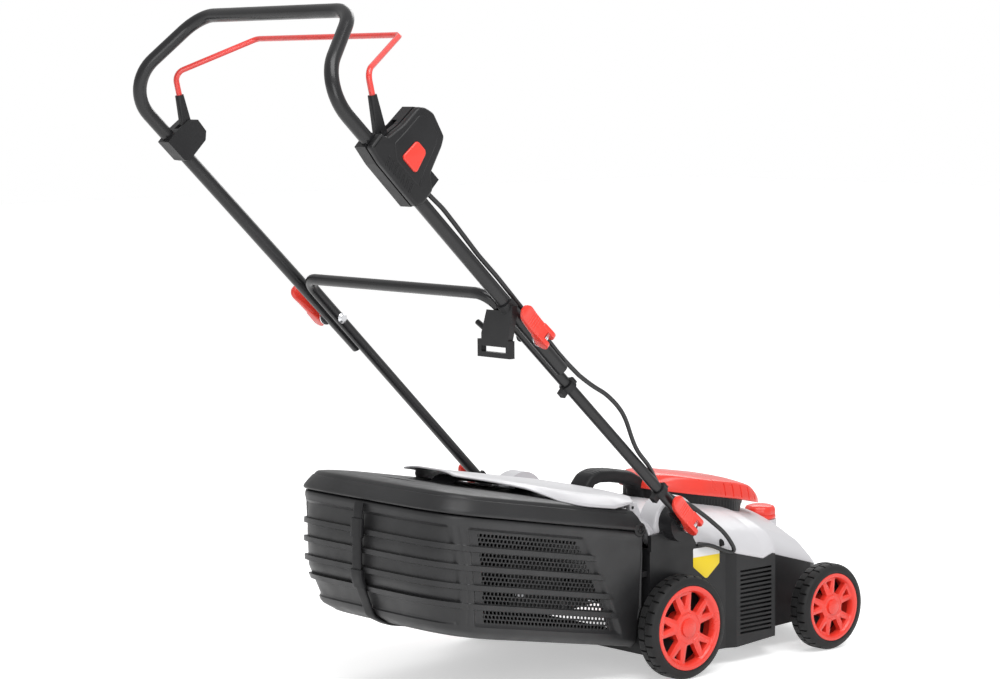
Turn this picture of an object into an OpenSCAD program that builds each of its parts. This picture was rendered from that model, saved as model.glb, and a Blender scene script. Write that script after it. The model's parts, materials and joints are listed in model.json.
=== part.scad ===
// Corded electric lawn mower with a folding handle and a hard grass box.
// X is across the mower, +Y is forward and +Z is up. All lengths are in millimetres.
// Every module is drawn with Y = 0 at the rear axle, and placed() moves it to the part's origin.

/* [Wheels] */
// Distance between the rear and the front axle
wheelbase = 305; // [290:5:320]
// Diameter of a rear wheel
rear_wheel_d = 150; // [140:2:160]
// Diameter of a front wheel
front_wheel_d = 130; // [120:2:140]
// Width of each tyre
tyre_w = 36; // [30:1:42]
// Radial thickness of the tyre outside the rim
tyre_t = 14; // [10:1:18]
// Diameter of the stub axles
axle_d = 10; // [8:0.5:12]
// Clear gap between a wheel and the deck
wheel_gap = 4; // [3:0.5:7]

/* [Deck and hood] */
// Width of the deck between the rear wheels
deck_w = 366; // [350:2:380]
// Distance from the front axle to the tip of the nose
nose_reach = 120; // [110:1:130]
// Height of the deck's lower edge above the ground
deck_clearance = 24; // [20:1:30]
// Wall thickness of the plastic shells
shell_t = 3; // [2:0.5:4]
// How far the air-vent panels stand out from the deck's sides
vent_bulge = 7; // [4:1:10]
// Number of slots in each vent panel
vent_slots = 15; // [8:1:18]
// Height of the hood's crown above the motor centre
hood_top = 223; // [218:1:230]
// Half the width of the discharge opening at the back of the deck
chute_half = 128; // [100:2:136]

/* [Blade and motor] */
// Cutting width, tip to tip
blade_d = 310; // [280:2:326]
// Height of the blade's underside above the ground
blade_z = 40; // [36:1:46]
// Diameter of the motor shaft
shaft_d = 12; // [10:1:14]
// Outer diameter of the motor's field core
stator_d = 92; // [80:2:100]
// Stack height of the field core
stator_h = 56; // [46:2:60]

/* [Motor cover] */
// Length of the red motor cover
cover_l = 232; // [220:2:240]
// Width of the red motor cover
cover_w = 162; // [150:2:176]
// Height of the domed cover above its rim
cover_h = 30; // [24:1:36]
// Height of the intake band under the cover
band_h = 17; // [12:1:22]

/* [Handle] */
// Angle of the handle above the horizontal
handle_angle = 44.1; // [42:0.1:47]
// Height of the lower pivot above the ground
pivot_z = 225; // [222:1:228]
// Distance from the lower pivot to the middle bolts
lower_reach = 417; // [405:2:429]
// Distance from the middle bolts to the handle's elbow
upper_reach = 489; // [477:2:501]
// How far the lower frame's crossbar lies past the middle bolts
crossbar_past = 88; // [84:1:92]
// Outer diameter of the lower tube
lower_tube_d = 16; // [15:0.5:17]
// Outer diameter of the upper tube
upper_tube_d = 19; // [18:0.5:20]
// Wall thickness of both tubes
tube_wall = 1.2; // [1:0.1:1.6]
// Half the distance between the centres of the lower legs at their feet
lower_half = 218; // [217:0.5:220]
// How far each lower leg leans in from its foot to the crossbar
lower_lean = 14; // [12:0.5:15]
// Half the length of the grip's crossbar between corner points
grip_half = 171; // [163:2:179]
// Diameter of the bail rod
bail_d = 8; // [6:0.5:9]

/* [Cam levers] */
// Length of a cam lever from its pin to its tip
lever_l = 64; // [56:1:67]
// Width of a cam lever
lever_w = 23; // [20:1:26]
// Radius of the cam round the pin
cam_r = 10; // [9:0.5:11]
// Diameter of the clamp bolts
bolt_d = 8; // [6:0.5:8.5]

/* [Switch box] */
// Length of the switch box along the tube
switch_l = 110; // [106:1:116]
// How far the switch box stands out in front of the tube
switch_reach = 90; // [84:1:94]
// Length of the safety button along the tube
button_l = 27; // [22:1:29]
// Width of the safety button across the tube
button_w = 33; // [26:1:34]
// Travel of the safety button
button_travel = 4; // [2:0.5:4.5]
// Diameter of the mains inlet's pins
inlet_pin_d = 4.8; // [4:0.1:5]
// Distance between the mains inlet's pins
inlet_pitch = 14; // [12:0.5:15]

/* [Grass box] */
// Length of the grass box along its middle
box_l = 400; // [380:5:410]
// Width of the grass box at its rim
box_w = 364; // [350:2:368]
// Depth of the grass box under its lid
box_h = 168; // [156:2:172]
// Height of the lid above the rim
lid_h = 32; // [26:1:34]
// Wall thickness of the grass box
box_t = 2.6; // [2:0.2:3.4]
// Angle at which the grass box rises to the rear
box_tilt = 10.2; // [9:0.1:11]
// Number of slotted bands in each side panel
panel_bands = 5; // [3:1:5]

/* [Rear flap] */
// Length of the rear flap from its hinge
flap_l = 262; // [240:2:280]
// Thickness of the flap
flap_t = 2.6; // [2:0.2:3.4]
// Diameter of the flap's hinge pin
flap_pin_d = 5; // [4:0.5:6]

/* [Hidden] */
$fn = 48;
eps = 0.02;
lap = 0.08;
fit_gap = 0.05;
seat_gap = 0.3;
blade_gap = 4;

// ---- Places along the mower ----
nose_y = wheelbase + nose_reach;
deck_half = deck_w / 2;
deck_rear = -42;
blade_y = wheelbase - 130;
wheel_in = deck_half + wheel_gap;
arch_y = wheelbase - front_wheel_d / 2 - 4;
// The front of the deck is as narrow as the blade's circle lets it be
blade_side = sqrt(pow(blade_d / 2 + blade_gap, 2) - pow(arch_y - blade_y, 2));
front_half = max(deck_half - 33, blade_side + shell_t);
nose_n = 1.45;
bulge_y = [rear_wheel_d / 2 + 37, rear_wheel_d / 2 + 53, arch_y - 26];
nose_start = nose_y - 95;

// Seam between the deck and the hood, and the hood's crown, as heights along Y
seam = [[deck_rear, 190], [30, 189], [70, 184], [bulge_y[0], 170], [bulge_y[1], 164], [bulge_y[2] - 26, 150],
    [bulge_y[2] - 6, 156], [nose_y - 91, 120], [nose_y, 98]];
crown = [[deck_rear, hood_top + 15], [0, hood_top + 15], [60, hood_top + 12], [blade_y, hood_top],
    [nose_y - 85, hood_top - 36], [nose_y - 50, hood_top - 57], [nose_y - 18, hood_top - 80],
        [nose_y, hood_top - 95]];
ceiling_z = 110;
chute_mouth = [62, 178];

// ---- Places along the handle ----
up_tube = [0, -cos(handle_angle), sin(handle_angle)];
down_tube = -up_tube;
off_tube = [0, sin(handle_angle), cos(handle_angle)];
pivot = [0, 2, pivot_z];
mid_bolt = pivot + lower_reach * up_tube;
elbow = mid_bolt + upper_reach * up_tube;
tail_reach = lower_reach - 68;
upper_half = leg_x(tail_reach) + (lower_tube_d + upper_tube_d) / 2 + 0.2;
elbow_r = 56;
corner_r = 48;
grip = elbow + [0, 91, 97];
switch_top = elbow - 100 * up_tube;
bail_pivot = elbow - 110 * up_tube + 25 * off_tube;
bail_x = upper_half - 8;
switch_in = upper_half - upper_tube_d / 2 - 6;
switch_split = upper_half + 6;
switch_out = upper_half + 20;
lever_x_upper = upper_half + upper_tube_d / 2 + 3 + cam_r;
foot_t = 6;
bracket_out = lower_half - lower_tube_d / 2 - 0.5;
lever_x_lower = bracket_out + foot_t + 3 + cam_r;
mid_x = leg_x(lower_reach);
ear_r = 42;

// ---- Grass box and flap ----
box_rim_z = 214;
box_front = [0, deck_rear - 12, box_rim_z - box_h];
flap_hinge = [0, deck_rear - 4, 247];
box_up = [0, sin(box_tilt), cos(box_tilt)];
box_back = [0, -cos(box_tilt), sin(box_tilt)];

// ---- Cable ----
cable_r = 3.2;
cable_upper_points = [[230, -486, 718], [230, -478, 711], [231, -460, 696], [231, -438, 673],
    [231, -399, 631],
    [231, -368, 602], [229, -341, 576], [227, -318, 554], [226, -301, 537], [225, -287, 524]];
cable_lower_points = [[225, -287, 524], [225, -271, 509], [224, -253, 491], [223, -234, 474],
    [222, -213, 457],
    [222, -197, 446], [222, -182, 437], [222, -166, 429], [222, -155, 421], [222, -143, 411],
        [222, -131, 398],
    [222, -123, 384], [222, -117, 369], [222, -110, 353], [223, -102, 339], [222, -90, 328], [218, -78, 319],
    [211, -63, 305], [205, -48, 288], [202, -34, 276], [201, -18, 266]];
cable_deck_points = [[201, -18, 266], [200, 2, 257], [199, 21, 250], [199, 37, 240], [199, 57, 227],
    [199, 75, 214],
    [199, 90, 203], [199, 101, 192], [198, 111, 180], [197, 117, 173], [195, 120, 169], [193, 117, 166],
    [192, 106, 170], [191, 95, 174], [190, 82, 180], [190, 69, 184], [190, 60, 186], [187, 54, 186],
        [183.4, 54, 186]];

// The rearmost point of the handle's elbow bend, worked out from the bend's own circle
leg_dir = up_tube;
rise_dir = unit([grip_half - upper_half, grip[1] - elbow[1], grip[2] - elbow[2]]);
elbow_turn = acos(leg_dir * rise_dir);
elbow_side = unit(rise_dir - (rise_dir * leg_dir) * leg_dir);
elbow_centre = elbow - leg_dir * elbow_r * tan(elbow_turn / 2) + elbow_side * elbow_r;
rear_y = elbow_centre[1] - elbow_r * norm([leg_dir[1], elbow_side[1]]) - upper_tube_d / 2;
origin_y = (nose_y + rear_y) / 2;

// ---------------------------------------------------------------- Helpers
// Distance of a lower leg's centre from the middle, at a reach up from the pivot
function leg_x(s) = lower_half - lower_lean * s / (lower_reach + crossbar_past);
function unit(v) = v / norm(v);
function mirror_x(v) = [-v[0], v[1], v[2]];
// Linear reading of a height table at y
function at_y(table, y, i = 0) =
    i >= len(table) - 2 || y <= table[i + 1][0]
        ? table[i][1] + (table[i + 1][1] - table[i][1]) * (y - table[i][0]) / (table[i + 1][0] - table[i][0])
        : at_y(table, y, i + 1);
// Signed power, for superellipses
function spow(v, p) = sign(v) * pow(abs(v), p);
function arc_points(n, a0, a1) = [for (i = [0:n]) a0 + (a1 - a0) * i / n];

module placed() {
    translate([0, -origin_y, 0])
        children();
}

module both_sides() {
    children();
    mirror([1, 0, 0])
        children();
}

// Turns local X, Y, Z to the given unit vectors and moves the origin to a point
module frame_at(p, x, y, z) {
    multmatrix([[x[0], y[0], z[0], p[0]], [x[1], y[1], z[1], p[1]], [x[2], y[2], z[2], p[2]], [0, 0, 0, 1]])
        children();
}

// A frame on the tube: local X is outward, local Y is off the tube and local Z is up the tube
module on_tube(p, x) {
    frame_at([x, p[1], p[2]], [1, 0, 0], off_tube, up_tube)
        children();
}

module rod(a, b, r) {
    d = unit(b - a);
    side = unit(abs(d[0]) > 0.9 ? cross([0, 0, 1], d) : cross([1, 0, 0], d));
    frame_at(a, side, cross(d, side), d)
        cylinder(r = r, h = norm(b - a));
}

// Straight runs joined by true bends, each with its own bend radius; over lengthens the two free ends
module bent_rod(path, radii, r, over = 0) {
    last = len(path) - 1;
    turn = [for (i = [0:last]) i == 0 || i == last ? 0
        : acos(unit(path[i] - path[i - 1]) * unit(path[i + 1] - path[i]))];
    reach = [for (i = [0:last]) i == 0 || i == last ? over : lap - radii[i] * tan(turn[i] / 2)];
    for (i = [0:last - 1]) {
        d = unit(path[i + 1] - path[i]);
        rod(path[i] - d * reach[i], path[i + 1] + d * reach[i + 1], r + lap / 4);
    }
    for (i = [1:last - 1]) {
        u = unit(path[i] - path[i - 1]);
        v = unit(path[i + 1] - path[i]);
        n = unit(v - (v * u) * u);
        frame_at(path[i] - u * radii[i] * tan(turn[i] / 2) + n * radii[i], -n, u, cross(-n, u))
            rotate_extrude(angle = turn[i])
                translate([radii[i], 0])
                    circle(r = r);
    }
}

// Closed skin through rings that all have the same number of points, turned to face outward
function mean(ring) = [for (k = [0:2]) let (v = [for (p = ring) p[k]]) v * [for (p = ring) 1] / len(ring)];
function ring_area(ring, c, i = 0) = i == len(ring) ? [0, 0, 0]
    : cross(ring[i] - c, ring[(i + 1) % len(ring)] - c) + ring_area(ring, c, i + 1);
module skin(given) {
    c = mean(given[0]);
    rise = ring_area(given[0], c) * (mean(given[len(given) - 1]) - c);
    rings = rise > 0 ? [for (i = [len(given) - 1:-1:0]) given[i]] : given;
    n = len(rings[0]);
    m = len(rings);
    points = [for (ring = rings) for (p = ring) p];
    sides = [for (i = [0:m - 2]) for (j = [0:n - 1]) [i * n + j, i * n + (j + 1) % n,
        (i + 1) * n + (j + 1) % n,
        (i + 1) * n + j]];
    first = [for (j = [n - 1:-1:0]) j];
    last = [for (j = [0:n - 1]) (m - 1) * n + j];
    polyhedron(points = points, faces = concat([first], sides, [last]), convexity = 6);
}

// A round tube swept through points, with 8 sides
module cord(given, r, trim = 0) {
    last = len(given) - 1;
    points = [for (i = [0:last]) i == 0 ? given[0] + trim * unit(given[1] - given[0])
        : i == last ? given[last] + trim * unit(given[last - 1] - given[last]) : given[i]];
    tangents = [for (i = [0:last]) unit(points[min(i + 1, last)] - points[max(i - 1, 0)])];
    skin([for (i = [0:last])
        let (t = tangents[i], a = unit(cross(t, [1, 0.3, 0.3])), b = cross(t, a))
            [for (k = [0:7]) points[i] + r * (cos(45 * k) * a + sin(45 * k) * b)]]);
}

// ---------------------------------------------------------------- Deck
// Plan of the deck and the hood, right side from the rear to the nose, drawn in by inset
function nose_arc(half, inset) = [for (a = arc_points(8, 0, 90)) if (a < 90)
    [(half - inset) * pow(cos(a), 2 / nose_n),
        nose_start + (nose_y - nose_start - inset) * pow(sin(a), 2 / nose_n)]];
function deck_side(inset) = concat([
    [deck_half - inset, deck_rear + inset],
    [deck_half - inset, bulge_y[0]],
    [deck_half + vent_bulge - inset, bulge_y[1]],
    [deck_half + vent_bulge - inset, bulge_y[2]],
    [front_half - inset, arch_y - inset / 2]], nose_arc(front_half, inset), [[0, nose_y - inset]]);
function whole_plan(side) = concat(side, [for (i = [len(side) - 2:-1:0]) [-side[i][0], side[i][1]]]);

// A solid with a side outline given as [y, z] points, reaching half to each side of the middle
module side_slab(outline, half) {
    translate([-half, 0, 0])
        rotate([90, 0, 90])
            linear_extrude(2 * half)
                polygon(outline);
}

module deck_outer() {
    intersection() {
        linear_extrude(300)
            polygon(whole_plan(deck_side(0)));
        side_slab(concat([[nose_y + 1, 40], [arch_y, deck_clearance + 8], [bulge_y[1], deck_clearance],
            [0, deck_clearance], [deck_rear - 1, 34]], seam), 250);
    }
}

// The cutting chamber under the ceiling, with its duct rising to the rear
module deck_chamber() {
    intersection() {
        translate([0, 0, -1])
            linear_extrude(300)
                polygon(whole_plan(deck_side(shell_t)));
        side_slab([[nose_y, -1], [nose_y, 84], [nose_y - 70, ceiling_z], [62, ceiling_z],
            [deck_rear + shell_t, chute_mouth[1]], [deck_rear + shell_t, -1]], 250);
    }
    translate([-chute_half, deck_rear - 1, chute_mouth[0]])
        cube([2 * chute_half, shell_t + 2, chute_mouth[1] - chute_mouth[0] - shell_t]);
}

// The room above the ceiling, under the hood
module deck_upper_room() {
    intersection() {
        linear_extrude(300)
            polygon(whole_plan(deck_side(shell_t)));
        side_slab([[nose_y, 84 + shell_t], [nose_y - 70, ceiling_z + shell_t],
            [62 + shell_t / 2, ceiling_z + shell_t],
            [deck_rear + shell_t, chute_mouth[1] + shell_t], [deck_rear + shell_t, 299], [nose_y, 299]],
                250);
    }
}

module axle_boss(y, z, half) {
    translate([half - 30, y, z])
        rotate([0, 90, 0])
            cylinder(r = axle_d / 2 + 6, h = 30 - eps);
}

module vent_slots_cut() {
    pitch = 92 / (vent_slots - 1);
    for (i = [0:vent_slots - 1])
        translate([deck_half - 8, bulge_y[1] + 8, 44 + i * pitch - 1.6])
            cube([30, bulge_y[2] - bulge_y[1] - 16, 3.2]);
}

module deck() {
    color("#2b2b2d") {
        difference() {
            union() {
                difference() {
                    deck_outer();
                    deck_chamber();
                    deck_upper_room();
                }
                both_sides() {
                    axle_boss(0, rear_wheel_d / 2, deck_half);
                    axle_boss(wheelbase, front_wheel_d / 2, front_half);
                    box_rest();
                }
            }
            both_sides() {
                translate([0, 0, rear_wheel_d / 2])
                    rotate([0, 90, 0])
                        cylinder(r = axle_d / 2, h = 300);
                translate([0, wheelbase, front_wheel_d / 2])
                    rotate([0, 90, 0])
                        cylinder(r = axle_d / 2, h = 300);
                vent_slots_cut();
            }
            translate([0, blade_y, ceiling_z - 5])
                cylinder(r = hub_r + 4, h = 20);
            motor_screw_holes();
        }
    }
}

// Shelf at the deck's back on which the grass box's front lugs rest
box_lug_h = 112;
module box_rest() {
    translate([deck_half - 24, deck_rear - 9, box_lug_z() - seat_gap - 8])
        cube([18, 9 + eps, 8]);
}
function box_lug_z() = box_front[2] + box_lug_h / cos(box_tilt) - 12 * tan(box_tilt);

// ---------------------------------------------------------------- Hood
// Half width of the hood at y, from the deck's plan
function hood_half(y) =
    y <= bulge_y[0] ? deck_half
    : y <= bulge_y[1] ? deck_half + vent_bulge * (y - bulge_y[0]) / (bulge_y[1] - bulge_y[0])
    : y <= bulge_y[2] ? deck_half + vent_bulge
    : y <= arch_y ? deck_half + vent_bulge + (front_half - deck_half - vent_bulge) * (y - bulge_y[2])
        / (arch_y - bulge_y[2])
    : y <= nose_start ? front_half
    : front_half * pow(max(0, 1 - pow((y - nose_start) / (nose_y - nose_start), nose_n)), 1 / nose_n);
hood_y = concat([deck_rear, -10, 30, 70, bulge_y[0], bulge_y[1], bulge_y[2] - 26, bulge_y[2] - 6, bulge_y[2],
    arch_y, arch_y + 40],
    [for (f = [0, 0.25, 0.45, 0.62, 0.76, 0.87, 0.95, 0.99]) nose_start + f * (nose_y - nose_start)]);
// How square the hood's arch is: boxy at the rear, round from the vents forward
function hood_power(y) = 0.5 + 0.4 * min(1, max(0, (y - deck_rear) / 170));
// One arch of the hood: a superellipse from seam to crown, closed along the bottom
function hood_arch(y, inset, drop) =
    let (half = max(1, hood_half(y) - inset), low = at_y(seam, y) - drop, high = at_y(crown, y) - inset,
        p = hood_power(y))
        [for (a = arc_points(16, 0, 180)) [half * spow(cos(a), p), y, low + (high - low) * spow(sin(a), p)]];

module hood_solid(inset, drop) {
    skin([for (y = hood_y) [for (p = hood_arch(min(y, nose_y - inset - 0.8), inset, drop)) p]]);
}

module pivot_ear(r, x0, x1) {
    translate([x0, pivot[1], pivot[2]])
        rotate([0, 90, 0])
            cylinder(r = r, h = x1 - x0);
}

// Slice of the nose that the black grille fills
module grille_zone() {
    translate([-126, nose_start + 28, at_y(seam, nose_y) + 22])
        cube([252, 200, 20]);
}

knob_y = nose_y - 50;
knob_seat_z = at_y(crown, knob_y) + 1;
knob_r = 26;
flap_lug_x = 152;

module hood_shell() {
    difference() {
        hood_solid(0, 0);
        hood_solid(shell_t, 2);
        translate([0, deck_rear, 0])
            side_slab([[-5, 0], [shell_t + 0.5, 0], [shell_t + 0.5, 400], [-5, 400]], chute_half + 20);
    }
}

module hood() {
    color("#dcdde0") {
        difference() {
            union() {
                difference() {
                    hood_shell();
                    grille_zone();
                }
                both_sides() {
                    intersection() {
                        translate([0, 8, -5])
                            pivot_ear(ear_r, deck_half - 30, deck_half);
                        side_slab(concat([[200, 400], [-200, 400], [-200, 190]], seam), 250);
                    }
                    flap_lug();
                }
                intersection() {
                    translate([0, knob_y, knob_seat_z - 24])
                        cylinder(r = knob_r + 3, h = 60);
                    union() {
                        hood_solid(0, 0);
                        translate([-50, knob_y - 50, 100])
                            cube([100, 100, knob_seat_z - 100]);
                    }
                }
            }
            translate([0, knob_y, knob_seat_z])
                cylinder(r = knob_r + 1, h = 60);
            both_sides()
                pivot_ear(bolt_d + 0.5, deck_half - 34, deck_half - 30);
            both_sides()
                pivot_ear(bolt_d / 2 + 0.1, 0, 250);
            translate([0, blade_y, 100])
                cylinder(r = stator_d / 2 + 14, h = 200);
            translate([0, knob_y, 100])
                cylinder(r = 4 + fit_gap, h = 120);
            translate([-160, flap_hinge[1], flap_hinge[2]])
                rotate([0, 90, 0])
                    cylinder(r = flap_pin_d / 2, h = 320);
        }
    }
}

module flap_lug() {
    translate([flap_lug_x - 8, 0, 0])
        rotate([90, 0, 90])
            linear_extrude(8)
                polygon([[deck_rear - 10, 240], [deck_rear - 10, 254], [deck_rear + 4, 254],
                    [deck_rear + 12, 236],
                    [deck_rear + 12, 226], [deck_rear + 1, 226]]);
}

module nose_grille() {
    color("#1d1d1f")
        intersection() {
            hood_shell();
            grille_zone();
        }
}

module front_knob() {
    color("#f04a40")
        translate([0, knob_y, knob_seat_z + seat_gap]) {
            rotate_extrude()
                polygon([[0, 0], [knob_r - 1, 0], [knob_r, 4], [knob_r - 1, 14], [knob_r - 6, 20],
                    [knob_r - 15, 23],
                    [0, 24]]);
            translate([0, 0, -20])
                cylinder(r = 4, h = 20 + eps);
        }
}

// ---------------------------------------------------------------- Motor cover
cover_y = nose_y - 104 - cover_l / 2;
cover_n = 0.55;
// Height of the intake band's top plane, which falls towards the nose
function band_top(y) = hood_top + band_h - 7 - 0.17 * (y - blade_y);
function cover_ring(inset, h) = [for (i = [0:39]) let (a = 9 * i,
    y = cover_y + (cover_l / 2 - inset) * spow(sin(a), cover_n))
        [(cover_w / 2 - inset) * spow(cos(a), cover_n), y, band_top(y) + h]];

module cover_solid(inset, low) {
    skin([cover_ring(inset, low), cover_ring(inset + 4, cover_h * 0.4 - inset),
        cover_ring(inset + 12, cover_h * 0.7 - inset),
        cover_ring(inset + 27, cover_h * 0.92 - inset), cover_ring(inset + 46, cover_h - inset)]);
}

module motor_cover() {
    color("#f04a40")
        difference() {
            cover_solid(0, 0);
            cover_solid(shell_t, -1);
            carry_handle_space();
        }
}

module cover_band() {
    color("#242426")
        difference() {
            skin([cover_ring(4, -band_h - 26), cover_ring(4, 0)]);
            skin([cover_ring(4 + shell_t, -band_h - 30), cover_ring(4 + shell_t, 1)]);
            hood_solid(0, 0);
            carry_handle_space();
        }
}

// ---------------------------------------------------------------- Carry handle
carry_half = 19;
carry_rear = deck_rear + 14;
carry_front = cover_y - cover_l / 2 + 16;
module carry_outline(grow) {
    top = hood_top + 59;
    side_slab([[carry_rear - grow, hood_top + 10], [carry_rear + 26 - grow, top + grow],
        [carry_rear + 60, top - 2 + grow],
        [carry_front, top - 17 + grow], [carry_front, hood_top + 8]], carry_half + grow);
}

module carry_handle_space() {
    carry_outline(0.2);
}

module carry_handle() {
    color("#29292b")
        difference() {
            carry_outline(0);
            side_slab([[carry_rear + 22, hood_top], [carry_rear + 30, hood_top + 34],
                [carry_rear + 44, hood_top + 39],
                [carry_front - 24, hood_top + 30], [carry_front - 14, hood_top + 20],
                    [carry_front - 14, hood_top]],
                carry_half + 5);
            hood_solid(0, 0);
        }
}

// ---------------------------------------------------------------- Handle brackets and lower bolts
module bracket() {
    difference() {
        union() {
            pivot_ear(27, deck_half, bracket_out);
            translate([deck_half, 0, 0])
                rotate([90, 0, 90])
                    linear_extrude(7)
                        polygon([[deck_rear - 4, 187], [deck_rear - 4, 210], [-24, 212], [-18, 232],
                            [20, 232],
                            [34, 206], [44, 190], [44, 187]]);
        }
        pivot_ear(bolt_d / 2 + 0.1, 0, 250);
    }
}

module bracket_right() {
    color("#222224")
        bracket();
}

module bracket_left() {
    color("#222224")
        mirror([1, 0, 0])
            bracket();
}

// A carriage bolt along X, from its head to the cross pin in its lever
module clamp_bolt(p, head_x, pin_x) {
    translate([head_x, p[1], p[2]])
        rotate([0, 90, 0])
            cylinder(r = bolt_d / 2, h = pin_x - head_x);
    translate([head_x, p[1], p[2]])
        rotate([0, -90, 0])
            cylinder(r1 = bolt_d, r2 = bolt_d * 0.6, h = 3.5);
    on_tube([0, p[1], p[2]], pin_x)
        rotate([90, 0, 0])
            cylinder(r = bolt_d / 2 - 0.5, h = lever_w - 2, center = true);
}

module lower_bolts() {
    color("silver")
        both_sides()
            clamp_bolt(pivot, deck_half - 30.1, lever_x_lower);
}

module clamp_washer(p, x) {
    translate([x, p[1], p[2]])
        rotate([0, 90, 0])
            difference() {
                cylinder(r = 12, h = 2);
                translate([0, 0, -1])
                    cylinder(r = bolt_d / 2 + 0.1, h = 4);
            }
}

module lower_washers() {
    color("silver")
        both_sides()
            clamp_washer(pivot, bracket_out + foot_t + 0.6);
}

// ---------------------------------------------------------------- Rear flap
// Half width of the flap at each distance back from its hinge, and how far it stands off the lid
flap_half_table = [[0, 143], [24, 143], [30, 174], [110, 175], [130, 170], [150, 160], [165, 146],
    [180, 128],
    [205, 96], [230, 76], [flap_l, 62]];
flap_edge = 8;
flap_arch = 9;
function flap_rise(x) = flap_edge + flap_arch * (1 - pow(min(1, abs(x) / 178), 3));
flap_x = [-178, -168, -150, -120, -85, -45, 0, 45, 85, 120, 150, 168, 178];

module on_flap() {
    frame_at(flap_hinge, [1, 0, 0], -box_back, box_up)
        children();
}

module rear_flap() {
    color("#dcdde0")
        on_flap() {
            intersection() {
                linear_extrude(60)
                    polygon(whole_plan([for (t = concat(flap_half_table, [[flap_l, 0]])) [t[1], 4 - t[0]]]));
                translate([0, 10, 0])
                    rotate([90, 0, 0])
                        linear_extrude(400)
                            polygon(concat([for (x = flap_x) [x, flap_rise(x)]],
                                [for (i = [len(flap_x) - 1:-1:0]) [flap_x[i],
                                    flap_rise(flap_x[i]) + flap_t]]));
            }
            for (x = [-100, 0, 100]) {
                translate([x - 14, 0, 0])
                    rotate([0, 90, 0])
                        ring(flap_pin_d / 2 + 2.5, flap_pin_d / 2 + fit_gap, 28);
                translate([x - 14, -4, flap_pin_d / 2 + 1])
                    cube([28, 8 - eps, flap_rise(abs(x) + 14) - flap_pin_d / 2 + 0.5]);
            }
        }
}

module flap_pin() {
    color("silver")
        translate([-flap_lug_x, flap_hinge[1], flap_hinge[2]])
            rotate([0, 90, 0])
                cylinder(r = flap_pin_d / 2, h = 2 * flap_lug_x);
}

module flap_spring() {
    color("silver")
        translate([40, flap_hinge[1], flap_hinge[2]])
            rotate([0, 90, 0])
                difference() {
                    cylinder(r = flap_pin_d / 2 + 2, h = 26);
                    translate([0, 0, -1])
                        cylinder(r = flap_pin_d / 2 + 0.2, h = 28);
                }
}

// ---------------------------------------------------------------- Motor
hub_r = 20;
frame_z = ceiling_z + shell_t;
stator_z = frame_z + 24;
stator_r = stator_d / 2;
bearing_h = 9;
brush_z = stator_z + stator_h;
shaft_top = brush_z + 24;

module ring(r_out, r_in, h) {
    difference() {
        cylinder(r = r_out, h = h);
        translate([0, 0, -1])
            cylinder(r = r_in, h = h + 2);
    }
}

module at_motor(z) {
    translate([0, blade_y, z])
        children();
}

module motor_screw_holes() {
    for (a = [45:90:315])
        at_motor(ceiling_z - 2)
            rotate(a)
                translate([stator_r + 11, 0, 0])
                    cylinder(r = 2.5, h = 10);
}

module motor_frame() {
    color("#8a8d90")
        difference() {
            at_motor(frame_z) {
                ring(stator_r + 18, shaft_d / 2 + 10, 4);
                ring(shaft_d / 2 + 14, shaft_d / 2 + 10, bearing_h + 1);
                ring(shaft_d / 2 + 11, shaft_d / 2 + 2, 1);
                ring(stator_r + 4, stator_r - 2, 24);
                translate([0, 0, 24 - eps])
                    ring(stator_r + 4, stator_r, 22);
            }
            motor_screw_holes();
        }
}

module stator() {
    color("#5b5f63")
        at_motor(stator_z)
            ring(stator_r, stator_r * 0.62, stator_h);
}

module brush_bridge() {
    color("#303234")
        at_motor(brush_z) {
            ring(stator_r, stator_r - 4, 16);
            translate([0, 0, 12])
                ring(stator_r - 3.9, 14, 4);
            translate([0, 0, 12])
                ring(16, 13, bearing_h + 1);
        }
}

module motor_bearings() {
    color("silver") {
        at_motor(frame_z + 1)
            ring(shaft_d / 2 + 10, shaft_d / 2 + fit_gap, bearing_h);
        at_motor(brush_z + 12)
            ring(13, shaft_d / 2 + fit_gap, bearing_h);
    }
}

module motor_screws() {
    color("silver")
        for (a = [45:90:315])
            at_motor(0)
                rotate(a)
                    translate([stator_r + 11, 0, 0]) {
                        translate([0, 0, ceiling_z])
                            cylinder(r = 2.5, h = 8);
                        translate([0, 0, ceiling_z - 3])
                            cylinder(r = 4.5, h = 3);
                    }
}

module rotor() {
    color("#6f7275")
        at_motor(0) {
            translate([0, 0, blade_z + 3])
                cylinder(r = shaft_d / 2, h = shaft_top - blade_z - 3);
            translate([0, 0, stator_z])
                cylinder(r = stator_r * 0.62 - 0.6, h = stator_h);
            translate([0, 0, brush_z + 1])
                cylinder(r = shaft_d / 2 + 6, h = 9);
        }
}

module cooling_fan() {
    color("#3a3d40")
        at_motor(frame_z + 12) {
            ring(stator_r - 4, shaft_d / 2, 2);
            for (i = [0:8])
                rotate(40 * i)
                    translate([shaft_d / 2 + 4, -1, 1])
                        cube([stator_r - shaft_d / 2 - 9, 2, 8]);
        }
}

module blade_holder() {
    color("#3a3d40")
        at_motor(blade_z + 3) {
            ring(38, shaft_d / 2, 5);
            ring(shaft_d / 2 + 6, shaft_d / 2, 26);
            for (i = [0:5])
                rotate(60 * i)
                    translate([shaft_d / 2 + 4, -1.5, 4])
                        cube([24, 3, 10]);
        }
}

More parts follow.
